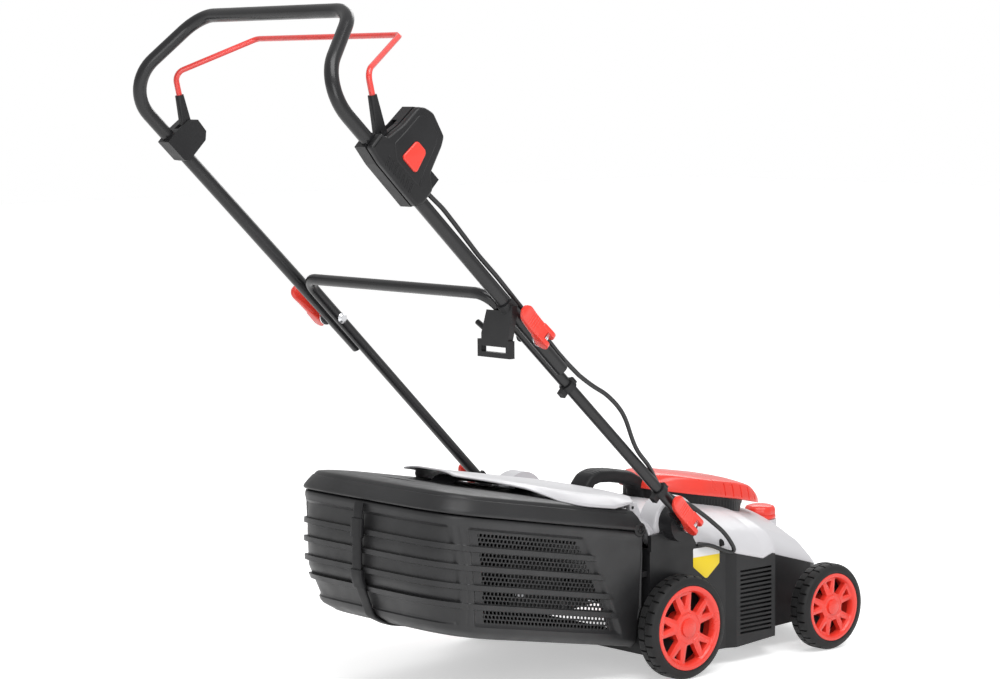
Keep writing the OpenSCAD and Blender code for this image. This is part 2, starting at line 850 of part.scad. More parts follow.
// A bar blade with sharpened, cranked tips
module blade() {
    color("#b4b7ba")
        at_motor(blade_z)
            difference() {
                intersection() {
                    union() {
                        translate([-blade_d / 2, -23, 0])
                            cube([blade_d, 46, 3]);
                        for (a = [0, 180])
                            rotate(a)
                                translate([blade_d / 2 - 60, 23 - eps, 0])
                                    rotate([28, 0, 0])
                                        cube([60, 13, 3]);
                    }
                    translate([0, 0, -1])
                        cylinder(r = blade_d / 2, h = 30);
                }
                translate([0, 0, -1])
                    cylinder(r = 5, h = 5);
            }
}

module blade_bolt() {
    color("silver")
        at_motor(blade_z - 8) {
            cylinder(r = 9, h = 6, $fn = 6);
            translate([0, 0, 6 - eps])
                cylinder(r = 13, h = 2 + eps);
            cylinder(r = 5, h = 11);
        }
}

// ---------------------------------------------------------------- Wheels
module stub_axle(y, z, half) {
    translate([half - 30, y, z])
        rotate([0, 90, 0])
            cylinder(r = axle_d / 2, h = wheel_in + tyre_w - 8.7 - half + 30);
    translate([half - 34, y, z])
        rotate([0, 90, 0])
            cylinder(r = axle_d / 2 + 4, h = 4);
    translate([wheel_in + tyre_w - 8.7, y, z])
        rotate([0, 90, 0])
            cylinder(r = axle_d / 2 + 3, h = 3);
}

module front_axles() {
    color("silver")
        both_sides()
            stub_axle(wheelbase, front_wheel_d / 2, front_half);
}

module rear_axles() {
    color("silver")
        both_sides()
            stub_axle(0, rear_wheel_d / 2, deck_half);
}

// A window between two radii, with its own half angle at each
module window(r0, r1, half0, half1, h) {
    linear_extrude(h)
        polygon(concat([for (a = arc_points(3, -half0, half0)) r0 * [cos(a), sin(a)]],
            [for (a = arc_points(6, half1, -half1)) r1 * [cos(a), sin(a)]]));
}

// A wheel's axis is local Z, with its outer face at the top
module rim(d) {
    r = d / 2 - tyre_t;
    hub = r * 0.36;
    difference() {
        union() {
            ring(r, r - 4, tyre_w - 2);
            translate([0, 0, tyre_w - 13])
                cylinder(r = r - 3.9, h = 8);
            cylinder(r = hub, h = tyre_w - 4);
            translate([0, 0, tyre_w - 4 - eps])
                cylinder(r = hub * 0.62, h = 2);
        }
        for (i = [0:4])
            rotate(72 * i + 10) {
                translate([0, 0, tyre_w - 16])
                    window(r * 0.44, r * 0.84, 13, 16, 14);
                rotate(36)
                    translate([0, 0, tyre_w - 16])
                        window(r * 0.57, r * 0.78, 1.5, 8, 14);
            }
        translate([0, 0, -1])
            cylinder(r = axle_d / 2 + fit_gap, h = tyre_w - 8 + eps);
        translate([0, 0, tyre_w - 9])
            cylinder(r = axle_d / 2 + 3.4, h = 4);
    }
}

module tyre(d) {
    r = d / 2;
    inner = r - tyre_t;
    rotate_extrude()
        polygon([[inner, 0.5], [inner, tyre_w - 0.5], [r - 7, tyre_w - 0.5], [r - 2, tyre_w - 4],
            [r, tyre_w - 9],
            [r, 9], [r - 2, 4], [r - 7, 0.5]]);
}

module wheel_place(y, d, side) {
    mirror([side < 0 ? 1 : 0, 0, 0])
        translate([wheel_in, y, d / 2])
            rotate([0, 90, 0])
                children();
}

module rim_front(side) {
    color("#f04a40")
        wheel_place(wheelbase, front_wheel_d, side)
            rim(front_wheel_d);
}

module rim_rear(side) {
    color("#f04a40")
        wheel_place(0, rear_wheel_d, side)
            rim(rear_wheel_d);
}

module tyre_front(side) {
    color("#202022")
        wheel_place(wheelbase, front_wheel_d, side)
            tyre(front_wheel_d);
}

module tyre_rear(side) {
    color("#202022")
        wheel_place(0, rear_wheel_d, side)
            tyre(rear_wheel_d);
}

// ---------------------------------------------------------------- Lower frame
foot_l = 38;
foot = pivot + (foot_l + 4) * up_tube;
crossbar = mid_bolt + crossbar_past * up_tube;
lower_top = leg_x(lower_reach + crossbar_past);
lower_path = [[leg_x(foot_l + 4), foot[1], foot[2]], [lower_top, crossbar[1], crossbar[2]],
    [-lower_top, crossbar[1], crossbar[2]], [-leg_x(foot_l + 4), foot[1], foot[2]]];
lower_r = 26;

// The flattened foot at the bottom of a leg
module leg_foot() {
    on_tube(pivot, bracket_out + 0.3) {
        rotate([0, 90, 0])
            cylinder(r = 11, h = foot_t);
        translate([0, -11, 0])
            cube([foot_t, 22, foot_l + 2]);
    }
    rod(leg_point(foot_l), leg_point(foot_l + 5), lower_tube_d / 2);
}

module bolt_hole(p, x) {
    translate([x - 30, p[1], p[2]])
        rotate([0, 90, 0])
            cylinder(r = bolt_d / 2 + 0.1, h = 60);
}

module lower_frame() {
    color("#1e1e20")
        difference() {
            union() {
                bent_rod(lower_path, [0, lower_r, lower_r, 0], lower_tube_d / 2);
                both_sides()
                    leg_foot();
            }
            bent_rod(lower_path, [0, lower_r, lower_r, 0], lower_tube_d / 2 - tube_wall);
            both_sides() {
                bolt_hole(pivot, lower_half);
                bolt_hole(mid_bolt, mid_x);
            }
        }
}

module mid_bolts() {
    color("silver")
        both_sides()
            clamp_bolt(mid_bolt, mid_x - lower_tube_d / 2 - 0.3, lever_x_upper);
}

module mid_washers() {
    color("silver")
        both_sides()
            clamp_washer(mid_bolt, upper_half + upper_tube_d / 2 + 0.5);
}

// A point on the right lower leg's centre line
function leg_point(s) = [leg_x(s), (pivot + s * up_tube)[1], (pivot + s * up_tube)[2]];

// A strap clip round the lower leg, with a lug under it and a loop for the cable in front
module cable_clip(s) {
    a = leg_point(s - 5);
    b = leg_point(s + 5);
    difference() {
        union() {
            rod(a, b, lower_tube_d / 2 + 3);
            on_tube(leg_point(s), leg_x(s))
                translate([-5, -lower_tube_d / 2 - 10, -5])
                    cube([9, 10, 10]);
            on_tube(leg_point(s), leg_x(s))
                translate([1, lower_tube_d / 2, -5])
                    cube([5, 4, 10]);
        }
        rod(leg_point(s - 20), leg_point(s + 20), lower_tube_d / 2 + lap / 2);
    }
}

clip_along = [312, 78];
module cable_clips() {
    color("#1c1c1e")
        for (s = clip_along)
            cable_clip(s);
}

// ---------------------------------------------------------------- Cam levers
// Lever with its pin along local Y at the origin, its arm up local Z and its back towards local X
module cam_lever() {
    difference() {
        union() {
            rotate([90, 0, 0])
                cylinder(r = cam_r, h = lever_w, center = true);
            rotate([90, 0, 0])
                linear_extrude(lever_w, center = true)
                    polygon([[-cam_r, 0], [-cam_r + 4, 12], [-4, lever_l * 0.45], [0, lever_l * 0.8],
                        [5, lever_l],
                        [10, lever_l - 2], [12, lever_l - 8], [9, lever_l * 0.7], [8, lever_l * 0.4],
                            [cam_r, 0]]);
        }
        translate([-cam_r - 1, -(bolt_d + 1) / 2, -cam_r - 1])
            cube([2 * cam_r + 2, bolt_d + 1, cam_r + 14]);
        rotate([90, 0, 0])
            cylinder(r = bolt_d / 2 - 0.5 + fit_gap, h = lever_w + 2, center = true);
    }
}

module lever_at(p, x) {
    color("#f04a40")
        on_tube(p, x)
            cam_lever();
}

module left_lever_at(p, x) {
    color("#f04a40")
        mirror([1, 0, 0])
            on_tube(p, x)
                cam_lever();
}

// ---------------------------------------------------------------- Handlebar
tail = pivot + tail_reach * up_tube;
bar_path = [[upper_half, tail[1], tail[2]], [upper_half, elbow[1], elbow[2]], [grip_half, grip[1], grip[2]],
    [-grip_half, grip[1], grip[2]], [-upper_half, elbow[1], elbow[2]], [-upper_half, tail[1], tail[2]]];

module handlebar() {
    color("#19191b")
        difference() {
            bent_rod(bar_path, [0, elbow_r, corner_r, corner_r, elbow_r, 0], upper_tube_d / 2);
            bent_rod(bar_path, [0, elbow_r, corner_r, corner_r, elbow_r, 0],
                upper_tube_d / 2 - tube_wall, 1);
            both_sides()
                bolt_hole(mid_bolt, upper_half);
        }
}

// ---------------------------------------------------------------- Switch box
// Local frame: X outward from the tube's centre, Y off the tube, Z up the tube from the switch box's top
module on_switch() {
    on_tube(switch_top, upper_half)
        children();
}

// Outline off the tube, as [off, up] points, drawn in by inset
function switch_outline(inset) = [
    [-13 + inset, 2 - inset], [-17 + inset, -26], [-18 + inset, -switch_l + 4 + inset],
        [-8, -switch_l - 2 + inset],
    [16 - inset, -switch_l - 2 + inset], [30 - inset, -switch_l + 16 + inset],
    [switch_reach - 22 - inset, -84 + inset], [switch_reach - 10 - inset, -78 + inset],
    [switch_reach - inset, -44], [switch_reach - 4 - inset, -30 - inset],
        [switch_reach - 12 - inset, -20 - inset],
    [44, -17 - inset], [14 - inset, -9 - inset], [12 - inset, 2 - inset]];

// The outline as a solid between two distances from the tube's plane
module switch_slab(x0, x1, inset) {
    translate([x0 - upper_half, 0, 0])
        rotate([90, 0, 90])
            linear_extrude(x1 - x0)
                polygon(switch_outline(inset));
}

module tube_bore() {
    translate([0, 0, -200])
        cylinder(r = upper_tube_d / 2 + lap / 2, h = 400);
}

// Room for the bail's boot and the bores for its trunnion
boot_w = 9;
module bail_slot() {
    translate([bail_x - upper_half - boot_w / 2 - 0.8, 13, -24])
        cube([boot_w + 1.6, 40, 60]);
    trunnion(fit_gap);
}

module trunnion(grow) {
    p = bail_pivot - switch_top;
    translate([bail_x - upper_half - 6.5 - grow, p * off_tube, p * up_tube])
        rotate([0, 90, 0])
            cylinder(r = 3 + grow, h = 13 + 2 * grow);
}

module button_shape(grow) {
    w = button_w / 2 + grow;
    l = button_l / 2 + grow;
    translate([0, 27, -58])
        rotate([90, 0, 90])
            linear_extrude(60)
                polygon([[-w, -l + 1], [-w + 3, -l - 2], [w - 4, -l + 3], [w, -l + 7], [w, l - 4],
                    [w - 3, l - 1],
                    [-w + 3, l + 2], [-w, l - 1]]);
}

module switch_housing() {
    color("#232325")
        on_switch()
            difference() {
                switch_slab(switch_in, switch_split, 0);
                difference() {
                    switch_slab(switch_in + 3, switch_split + 1, 3);
                    translate([0, 0, -200])
                        cylinder(r = upper_tube_d / 2 + 3.6, h = 400);
                }
                tube_bore();
                bail_slot();
                inlet_room();
            }
}

module switch_cover() {
    color("#232325")
        on_switch()
            difference() {
                switch_slab(switch_split, switch_out, 0);
                difference() {
                    switch_slab(switch_split - 1, switch_out - 3, 3);
                    translate([0, 0, -200])
                        cylinder(r = upper_tube_d / 2 + 3.6, h = 400);
                }
                tube_bore();
                button_shape(0.4);
                inlet_room();
            }
}

module safety_button() {
    color("#f04a40")
        on_switch() {
            intersection() {
                button_shape(0);
                translate([switch_out - upper_half - 6, -50, -100])
                    cube([6 + 3, 120, 120]);
            }
            translate([switch_out - upper_half - 8, 30, -58])
                rotate([0, 90, 0])
                    cylinder(r = 3, h = 2 + eps);
        }
}

module micro_switch() {
    color("#3a3d40")
        on_switch()
            translate([switch_in + 3 - upper_half, 17, -70])
                cube([switch_out - switch_in - 3 - 8 - button_travel - 0.5, 28, 24]);
}

// Mains inlet block at the switch box's lower end, with its socket facing down the tube
inlet_x = 0.5 * (switch_in + switch_out) - upper_half;
inlet_low = -switch_l;
inlet_depth = 26;
module inlet_block() {
    translate([inlet_x - 14, 13.5, inlet_low])
        cube([28, 20, 36]);
}

module inlet_room() {
    inlet_block();
}

module mains_inlet() {
    color("#1b1b1d")
        on_switch()
            difference() {
                inlet_block();
                translate([inlet_x - 12, 15.5, inlet_low - 1])
                    cube([24, 16, inlet_depth + 1]);
                for (s = [-0.5, 0.5])
                    translate([inlet_x + s * inlet_pitch, 23.5, inlet_low + inlet_depth - 1])
                        cylinder(r = inlet_pin_d / 2 - 0.6, h = 7);
            }
}

module inlet_pins() {
    color("silver")
        on_switch()
            for (s = [-0.5, 0.5])
                translate([inlet_x + s * inlet_pitch, 23.5, inlet_low + 5]) {
                    cylinder(r = inlet_pin_d / 2, h = inlet_depth - 5);
                    cylinder(r = inlet_pin_d / 2 - 0.6, h = inlet_depth + 1);
                }
}

// ---------------------------------------------------------------- Bail and its left bracket
module bail_bracket() {
    color("#232325")
        mirror([1, 0, 0])
            on_switch()
                difference() {
                    translate([switch_in - upper_half, 0, 0])
                        rotate([90, 0, 90])
                            linear_extrude(upper_tube_d + 7)
                                polygon([[-13, 3], [-13, -34], [-8, -41], [32, -41], [42, -33],
                                    [44, -12], [34, -1], [10, 3]]);
                    tube_bore();
                    bail_slot();
                }
}

bail_dir = unit([0, -18, 77]);
bail_low = bail_pivot + 34 * bail_dir;
bail_top = bail_pivot + [0, -18, 77];
bail_bar = bail_pivot + [0, 82, 124];
module bail_rod() {
    path = [[bail_x, bail_low[1], bail_low[2]], [bail_x, bail_top[1], bail_top[2]],
        [grip_half - 11, bail_bar[1], bail_bar[2]], [-grip_half + 11, bail_bar[1], bail_bar[2]],
        [-bail_x, bail_top[1], bail_top[2]], [-bail_x, bail_low[1], bail_low[2]]];
    color("#e8433c")
        bent_rod(path, [0, 16, 12, 12, 16, 0], bail_d / 2);
}

module bail_boot() {
    d = bail_dir;
    difference() {
        union() {
            frame_at([bail_x, bail_pivot[1], bail_pivot[2]], [1, 0, 0], cross(d, [1, 0, 0]), d)
                hull() {
                    rotate([0, 90, 0])
                        cylinder(r = 8, h = boot_w, center = true, $fn = 32);
                    translate([0, 0, 46])
                        cylinder(r = bail_d / 2 + 2, h = 2, $fn = 32);
                }
            on_switch()
                trunnion(0);
        }
        rod([bail_x, bail_low[1], bail_low[2]], [bail_x, bail_low[1], bail_low[2]] + 60 * d,
            bail_d / 2 + lap / 2);
    }
}

module bail_boots() {
    color("#232325")
        both_sides()
            bail_boot();
}

// ---------------------------------------------------------------- Cord restraint
restraint_at = mid_bolt + 67 * up_tube;
restraint_x = upper_half - 14;
restraint_travel = 24;
module cord_restraint() {
    low = restraint_at[2] - 72;
    back = restraint_at[1] - 5;
    color("#29292b") {
        difference() {
            union() {
                hull() {
                    translate([restraint_x - 20, back, low + 60])
                        cube([50, 9, 12]);
                    translate([restraint_x - 34, back, low + 20])
                        cube([54, 9, 12]);
                }
                translate([restraint_x - 42, back, low])
                    cube([66, 9, 24]);
                rod([restraint_x - 16, back + 4, low + 30], [restraint_x - 46, back + 4, low + 46], 4);
                on_tube(restraint_at, upper_half)
                    cylinder(r = upper_tube_d / 2 + 3, h = 16, center = true);
            }
            translate([restraint_x - 34, back - 10, low + 7])
                cube([50, 30, 8]);
            on_tube(restraint_at, upper_half)
                cylinder(r = upper_tube_d / 2 + fit_gap, h = 120, center = true);
            on_tube(restraint_at, upper_half)
                translate([-upper_tube_d / 2 - 1, 4, -60])
                    cube([upper_tube_d + 2, 40, 120]);
            on_tube(restraint_at, upper_half)
                translate([-100, -lower_tube_d / 2 - 0.9, -100])
                    cube([100 - upper_tube_d / 2 - 1.1, 200, 200]);
        }
    }
}

// ---------------------------------------------------------------- Cable
module cable_upper() {
    color("#161618")
        cord(cable_upper_points, cable_r);
}

module cable_lower() {
    color("#161618")
        cord(cable_lower_points, cable_r, 2 * seat_gap);
}

module cable_deck() {
    color("#161618")
        cord(cable_deck_points, cable_r);
}

// ---------------------------------------------------------------- Grass box
module on_box() {
    frame_at(box_front, [1, 0, 0], -box_back, box_up)
        children();
}

// Plan of the box at one height: straight front, bowed rear with rounded corners
function box_ring(half, length, h, inset, front = 0) =
    let (hw = half - inset, back = length - inset, fore = front + h * tan(box_tilt))
        concat([[hw, -fore, h]],
            [for (a = arc_points(14, 0, 180)) [hw * spow(cos(a), 0.42),
                -(back - 96) - 96 * spow(sin(a), 0.62), h]],
            [[-hw, -fore, h]]);
box_half = box_w / 2;
// Half width and length at each height, from the floor to the rim
box_levels = [[0, box_half - 26, box_l - 66], [8, box_half - 16, box_l - 40], [60, box_half - 8, box_l - 4],
    [110, box_half - 4, box_l + 2], [box_h, box_half - 1, box_l]];

module box_body(inset) {
    skin([for (i = [0:len(box_levels) - 1]) let (l = box_levels[i])
        box_ring(l[1], l[2], i == 0 ? inset : l[0] + (i == len(box_levels) - 1 ? inset : 0), inset, inset)]);
}

module side_windows() {
    pitch = 21.5;
    for (k = [0:panel_bands - 1])
        for (row = [-1, 0, 1])
            translate([box_half - 40, -(box_l - 68 - 3 * k), box_h - 32 - k * pitch + row * 4.6 - 1.3])
                cube([60, 188 + 16 * k, 2.6]);
}

module box_shell() {
    difference() {
        box_body(0);
        box_body(box_t);
        mouth_cut();
        both_sides()
            side_windows();
    }
}

// The opening in the box's upright front wall
module mouth_cut() {
    skin([for (y = [-box_t - 1, 1]) [[-chute_half - 8, y - 18 * tan(box_tilt), 18],
        [chute_half + 8, y - 18 * tan(box_tilt), 18],
        [chute_half + 8, y - (box_h - 18) * tan(box_tilt), box_h - 18],
        [-chute_half - 8, y - (box_h - 18) * tan(box_tilt), box_h - 18]]]);
}

module box_half_cut() {
    translate([eps / 2, -600, -100])
        cube([400, 1200, 600]);
}

module box_front_lug() {
    translate([deck_half - 24, -6 - (box_lug_h + 5) * tan(box_tilt), box_lug_h])
        cube([18, 14, 10]);
}

module box_right() {
    color("#2a2a2c")
        on_box() {
            intersection() {
                box_shell();
                box_half_cut();
            }
            box_front_lug();
        }
}

module box_left() {
    color("#2a2a2c")
        mirror([1, 0, 0])
            on_box() {
                intersection() {
                    box_shell();
                    box_half_cut();
                }
                box_front_lug();
            }
}

function lid_ring(inset, h) = box_ring(box_half, box_l + 2, box_h + h, inset, inset);
module lid_body(inset) {
    skin([lid_ring(inset, inset > 0 ? -1 : 0), lid_ring(inset - 1.5, 6),
        lid_ring(inset + 6, lid_h - 12 - inset / 2),
        lid_ring(inset + 20, lid_h - inset), lid_ring(inset + 60, lid_h + 1 - inset)]);
}

lid_handle_top = (flap_hinge - box_front) * box_up + flap_edge + flap_arch - seat_gap;
module box_lid() {
    color("#262628")
        on_box() {
            difference() {
                lid_body(0);
                lid_body(box_t);
            }
            difference() {
                translate([-17, -270, box_h + lid_h - 3])
                    cube([34, 180, lid_handle_top - box_h - lid_h + 3]);
                translate([-20, -252, box_h + lid_h - 4])
                    cube([40, 144, lid_handle_top - box_h - lid_h - 1]);
            }
        }
}

// Strap down the middle of the rear that holds the two halves and the lid together
strap_w = 16;
strap_t = 4;
module box_strap() {
    color("#242426")
        on_box()
            translate([-strap_w / 2, 0, 0])
                rotate([90, 0, 90])
                    linear_extrude(strap_w)
                        polygon(concat(strap_line(strap_t + 0.1),
                            [for (i = [strap_n:-1:0]) strap_line(0.1)[i]]));
}
// Rear profile of the box in its middle plane, as [along, up], pushed out by grow
strap_n = 6;
function strap_line(grow) = [
    [-box_l + 160, -grow], [-box_levels[0][2] - grow * 0.4, -grow],
        [-box_levels[1][2] - grow * 0.9, 8 - grow * 0.6],
    [-box_levels[2][2] - grow, 60], [-box_levels[3][2] - grow, 110], [-box_l - 3 - grow, box_h - 4],
    [-box_l - 4 - grow, box_h + 14]];

// ---------------------------------------------------------------- The part
placed() {
    deck();
    hood();
    motor_cover();
    cover_band();
    carry_handle();
    nose_grille();
    front_knob();
    bracket_right();
    bracket_left();
    lower_bolts();
    lower_washers();
    flap_pin();
    flap_spring();
    rear_flap();
    motor_frame();
    stator();
    brush_bridge();
    motor_bearings();
    motor_screws();
    rotor();
    cooling_fan();
    blade_holder();
    blade();
    blade_bolt();
    front_axles();
    rear_axles();
    rim_front(1);  // rim_front_right
    rim_front(-1);  // rim_front_left
    rim_rear(1);  // rim_rear_right
    rim_rear(-1);  // rim_rear_left
    tyre_front(1);  // tyre_front_right
    tyre_front(-1);  // tyre_front_left
    tyre_rear(1);  // tyre_rear_right
    tyre_rear(-1);  // tyre_rear_left
    lower_frame();
    mid_bolts();
    mid_washers();
    cable_clips();
    cable_lower();
    lever_at(pivot, lever_x_lower);  // lever_lower_right
    left_lever_at(pivot, lever_x_lower);  // lever_lower_left
    lever_at(mid_bolt, lever_x_upper);  // lever_upper_right
    left_lever_at(mid_bolt, lever_x_upper);  // lever_upper_left
    handlebar();
    switch_housing();
    switch_cover();
    micro_switch();
    mains_inlet();
    inlet_pins();
    bail_bracket();
    cord_restraint();
    cable_upper();
    bail_rod();
    bail_boots();
    safety_button();
    box_right();
    box_left();
    box_lid();
    cable_deck();
    box_strap();
}
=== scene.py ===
import json
import math

import bpy
import numpy as np
from mathutils import Matrix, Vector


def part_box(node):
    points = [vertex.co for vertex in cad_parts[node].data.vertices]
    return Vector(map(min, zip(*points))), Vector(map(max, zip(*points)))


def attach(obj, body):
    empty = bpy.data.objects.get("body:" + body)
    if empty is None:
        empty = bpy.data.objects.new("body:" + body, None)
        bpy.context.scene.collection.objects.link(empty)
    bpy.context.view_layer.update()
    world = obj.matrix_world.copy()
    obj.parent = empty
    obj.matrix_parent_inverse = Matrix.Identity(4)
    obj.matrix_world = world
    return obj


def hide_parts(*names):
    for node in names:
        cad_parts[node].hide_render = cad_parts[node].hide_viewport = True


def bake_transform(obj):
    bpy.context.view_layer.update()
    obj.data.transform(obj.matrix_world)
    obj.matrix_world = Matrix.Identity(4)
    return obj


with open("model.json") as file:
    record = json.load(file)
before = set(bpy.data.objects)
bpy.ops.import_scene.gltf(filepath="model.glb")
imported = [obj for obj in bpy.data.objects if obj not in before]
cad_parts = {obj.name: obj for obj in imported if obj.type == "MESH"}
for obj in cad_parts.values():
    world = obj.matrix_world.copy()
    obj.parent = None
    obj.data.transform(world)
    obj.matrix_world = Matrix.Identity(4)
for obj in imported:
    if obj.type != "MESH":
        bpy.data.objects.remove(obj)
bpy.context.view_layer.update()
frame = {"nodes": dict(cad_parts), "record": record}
record = frame["record"]

# all sizes of shapes are millimetres, with y = 0 at the rear axle
lowTyre, highTyre = (1000 * np.array(c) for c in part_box("tyre_rear_right"))
lowFront, highFront = (1000 * np.array(c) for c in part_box("tyre_front_right"))
rearAxleY = (lowTyre[1] + highTyre[1]) / 2
wheelBase = (lowFront[1] + highFront[1]) / 2 - rearAxleY
mowerShape = {"boxTilt": 10.2, "tubeAngle": 44.1, "pivot": (0, 2, 225.0), "midBolt": 417, "switchTop": 806,
              "upperHalf": 226.025, "hinge": (0, -46, 247.0), "boxFront": -54, "boxFloor": 46}
tiltBox = math.radians(mowerShape["boxTilt"])
tubeAngle = math.radians(mowerShape["tubeAngle"])
upTube = np.array([0, -math.cos(tubeAngle), math.sin(tubeAngle)])
offTube = np.array([0, math.sin(tubeAngle), math.cos(tubeAngle)])
pivot = np.array(mowerShape["pivot"])
midBolt = pivot + mowerShape["midBolt"] * upTube
switchTop = pivot + mowerShape["switchTop"] * upTube
upperHalf = mowerShape["upperHalf"]
hinge = np.array(mowerShape["hinge"])
# the slope that the grass box, the lid and the flap share
alongSlope = np.array([0, -math.cos(tiltBox), math.sin(tiltBox)])
offSlope = np.array([0, math.sin(tiltBox), math.cos(tiltBox)])


# from millimetres, with y = 0 at the rear axle, to the part's own frame
def inMetres(points):
    return (np.asarray(points, float) + [0, rearAxleY, 0]) / 1000


# small tools for surfaces
# unit vectors along the last axis
def unit(v):
    return v / np.maximum(np.linalg.norm(v, axis=-1, keepdims=True), 1e-9)


# rises from 0 to 1 between low and high, flat at both ends
def ease(v, low, high):
    t = np.clip((v - low) / (high - low), 0, 1)
    return t * t * (3 - 2 * t)


# power that keeps its sign, for superellipses
def signPower(v, p):
    return np.sign(v) * np.abs(v) ** p


# a column of a table read at v and averaged over a window, so that its corners are round
def softTable(v, table, width, column=1):
    return sum(np.interp(v + d, table[:, 0], table[:, column]) for d in np.linspace(-width, width, 9)) / 9


# points at even steps along a line; each pass draws every point half way to its neighbours' middle
def evenPath(points, count, passes=0, closed=False):
    points = np.asarray(points, float)
    if closed:
        points = np.concatenate([points, points[:1]])
    run = np.concatenate([[0], np.cumsum(np.linalg.norm(np.diff(points, axis=0), axis=1))])
    s = np.linspace(0, run[-1], count + 1 if closed else count)
    out = np.stack([np.interp(s, run, points[:, k]) for k in range(points.shape[1])], -1)
    if closed:
        out = out[:-1]
    moving = slice(None) if closed else slice(1, -1)
    for _ in range(passes):
        middle = (np.roll(out, 1, 0) + np.roll(out, -1, 0)) / 2
        out[moving] = ((out + middle) / 2)[moving]
    return out


# one surface: quads between neighbouring rows and columns, closed where asked, looking outward
def sheetOf(grid, wrapRows=False, wrapCols=False, capRows=False, keep=None):
    rows, cols = grid.shape[:2]
    lastRow, lastCol = rows if wrapRows else rows - 1, cols if wrapCols else cols - 1
    r0, c0 = np.meshgrid(np.arange(lastRow), np.arange(lastCol), indexing="ij")
    r1, c1 = (r0 + 1) % rows, (c0 + 1) % cols
    quads = np.stack([r0 * cols + c0, r0 * cols + c1, r1 * cols + c1, r1 * cols + c0], -1)
    quads = quads.reshape(-1, 4) if keep is None else quads[keep]
    caps = [np.arange(cols)[::-1], (rows - 1) * cols + np.arange(cols)] if capRows else []
    points = grid.reshape(-1, 3)
    corner = points[quads]
    normal = np.cross(corner[:, 2] - corner[:, 0], corner[:, 3] - corner[:, 1])
    if (normal * (corner.mean(1) - points.mean(0))).sum() < 0:
        quads, caps = quads[:, ::-1], [c[::-1] for c in caps]
    return points, quads.tolist() + [c.tolist() for c in caps]


# turns a flat sheet so that it looks along a direction
def facingWay(sheet, way):
    points, faces = sheet
    corner = points[np.array(faces)]
    normal = np.cross(corner[:, 2] - corner[:, 0], corner[:, 3] - corner[:, 1]).sum(0)
    return points, [f[::-1] for f in faces] if normal @ np.array(way) < 0 else faces


# one closed body: the grid's columns meet round it and both end rows are capped
def solidOf(grid):
    return sheetOf(grid, wrapCols=True, capRows=True)


# the section's (a, b) points carried along a path: a runs along side, b across side and path; grow is a
# factor on both, or one on each
def carried(path, section, side=(1, 0, 0), grow=1.0):
    tangent = unit(np.gradient(path, axis=0))
    side = np.asarray(side, float)
    a = unit(side - (tangent @ side)[:, None] * tangent)
    b = np.cross(tangent, a)
    grown = np.broadcast_to(grow, (len(path), 2))[:, None] * section
    return path[:, None] + a[:, None] * grown[..., :1] + b[:, None] * grown[..., 1:]


# even angles round a full turn
def around(count):
    return np.arange(count) * 2 * np.pi / count


# cosine and sine to a power, from an ellipse (1) to nearly a rectangle (0.4)
def squareOval(t, halfA, halfB, power):
    return np.stack([halfA * signPower(np.cos(t), power), halfB * signPower(np.sin(t), power)], -1)


# closed section: such an oval at even angles
def squareRound(halfA, halfB, power=0.5, count=24):
    return squareOval(around(count) + np.pi / count, halfA, halfB, power)


# (radius, height) points turned about an axis through centre; shape is a factor on the radius by angle
def turned(profile, centre, axis, count=48, shape=1.0):
    axis = unit(np.asarray(axis, float))
    a = unit(np.cross(axis, [0.31, 0.95, 0.1]))
    b = np.cross(axis, a)
    t = around(count)
    ring = (np.cos(t)[:, None] * a + np.sin(t)[:, None] * b) * np.broadcast_to(shape, (count,))[:, None]
    profile = np.asarray(profile, float)
    return np.asarray(centre, float) + profile[:, 0, None, None] * ring + profile[:, 1, None, None] * axis


# unit normals of a closed outline, away from its inside
def outwardOf(outline):
    tangent = unit(np.roll(outline, -1, 0) - np.roll(outline, 1, 0))
    area = np.sum(outline[:, 0] * np.roll(outline[:, 1], -1) - np.roll(outline[:, 0], -1) * outline[:, 1])
    return np.sign(area) * np.stack([tangent[:, 1], -tangent[:, 0]], -1)


# an outline of (u, v) points between two heights; a quarter turn of drawing in rounds its edges
def slab(outline, low, high, edge, place, steps=4):
    outline = np.asarray(outline, float)
    normal = outwardOf(outline)
    turn = np.linspace(0, np.pi / 2, steps + 1)
    inset = edge * (1 - np.sin(turn))
    rise = edge * (1 - np.cos(turn))
    inset = np.concatenate([inset, inset[::-1]])
    height = np.concatenate([low + rise, (high - rise)[::-1]])
    flat = outline[None] - normal[None] * inset[:, None, None]
    return place(flat[..., 0], flat[..., 1], np.broadcast_to(height[:, None], flat.shape[:2]))


# one closed body: a smoothed outline between two heights
def solidSlab(points, count, passes, low, high, edge, place, steps=4):
    return solidOf(slab(evenPath(points, count, passes, True), low, high, edge, place, steps))


# tube frame at a point of the handle: u across the mower, v off the tube, w up the tube
def onTube(at, x):
    start = np.array([x, at[1], at[2]])
    return lambda u, v, w: start + u[..., None] * [1.0, 0, 0] + v[..., None] * offTube + w[..., None] * upTube


# an upright slab: its outline is (y, z) and its height runs along x
def onSide(u, v, w):
    return np.stack([w, u, v], -1)


# flap frame: u across, v from the hinge to the rear, w off the slope
def onFlap(u, v, w):
    return hinge + u[..., None] * np.array([1, 0, 0]) + v[..., None] * alongSlope + w[..., None] * offSlope


# box frame: x across, y from the front plane to the rear, z up from the floor, all leaning with the box
def onBox(x, y, z):
    x, y, z = np.broadcast_arrays(x, y, z)
    return np.stack([x, mowerShape["boxFront"] + y * math.cos(tiltBox) + z * math.sin(tiltBox),
                     mowerShape["boxFloor"] - y * math.sin(tiltBox) + z * math.cos(tiltBox)], -1)


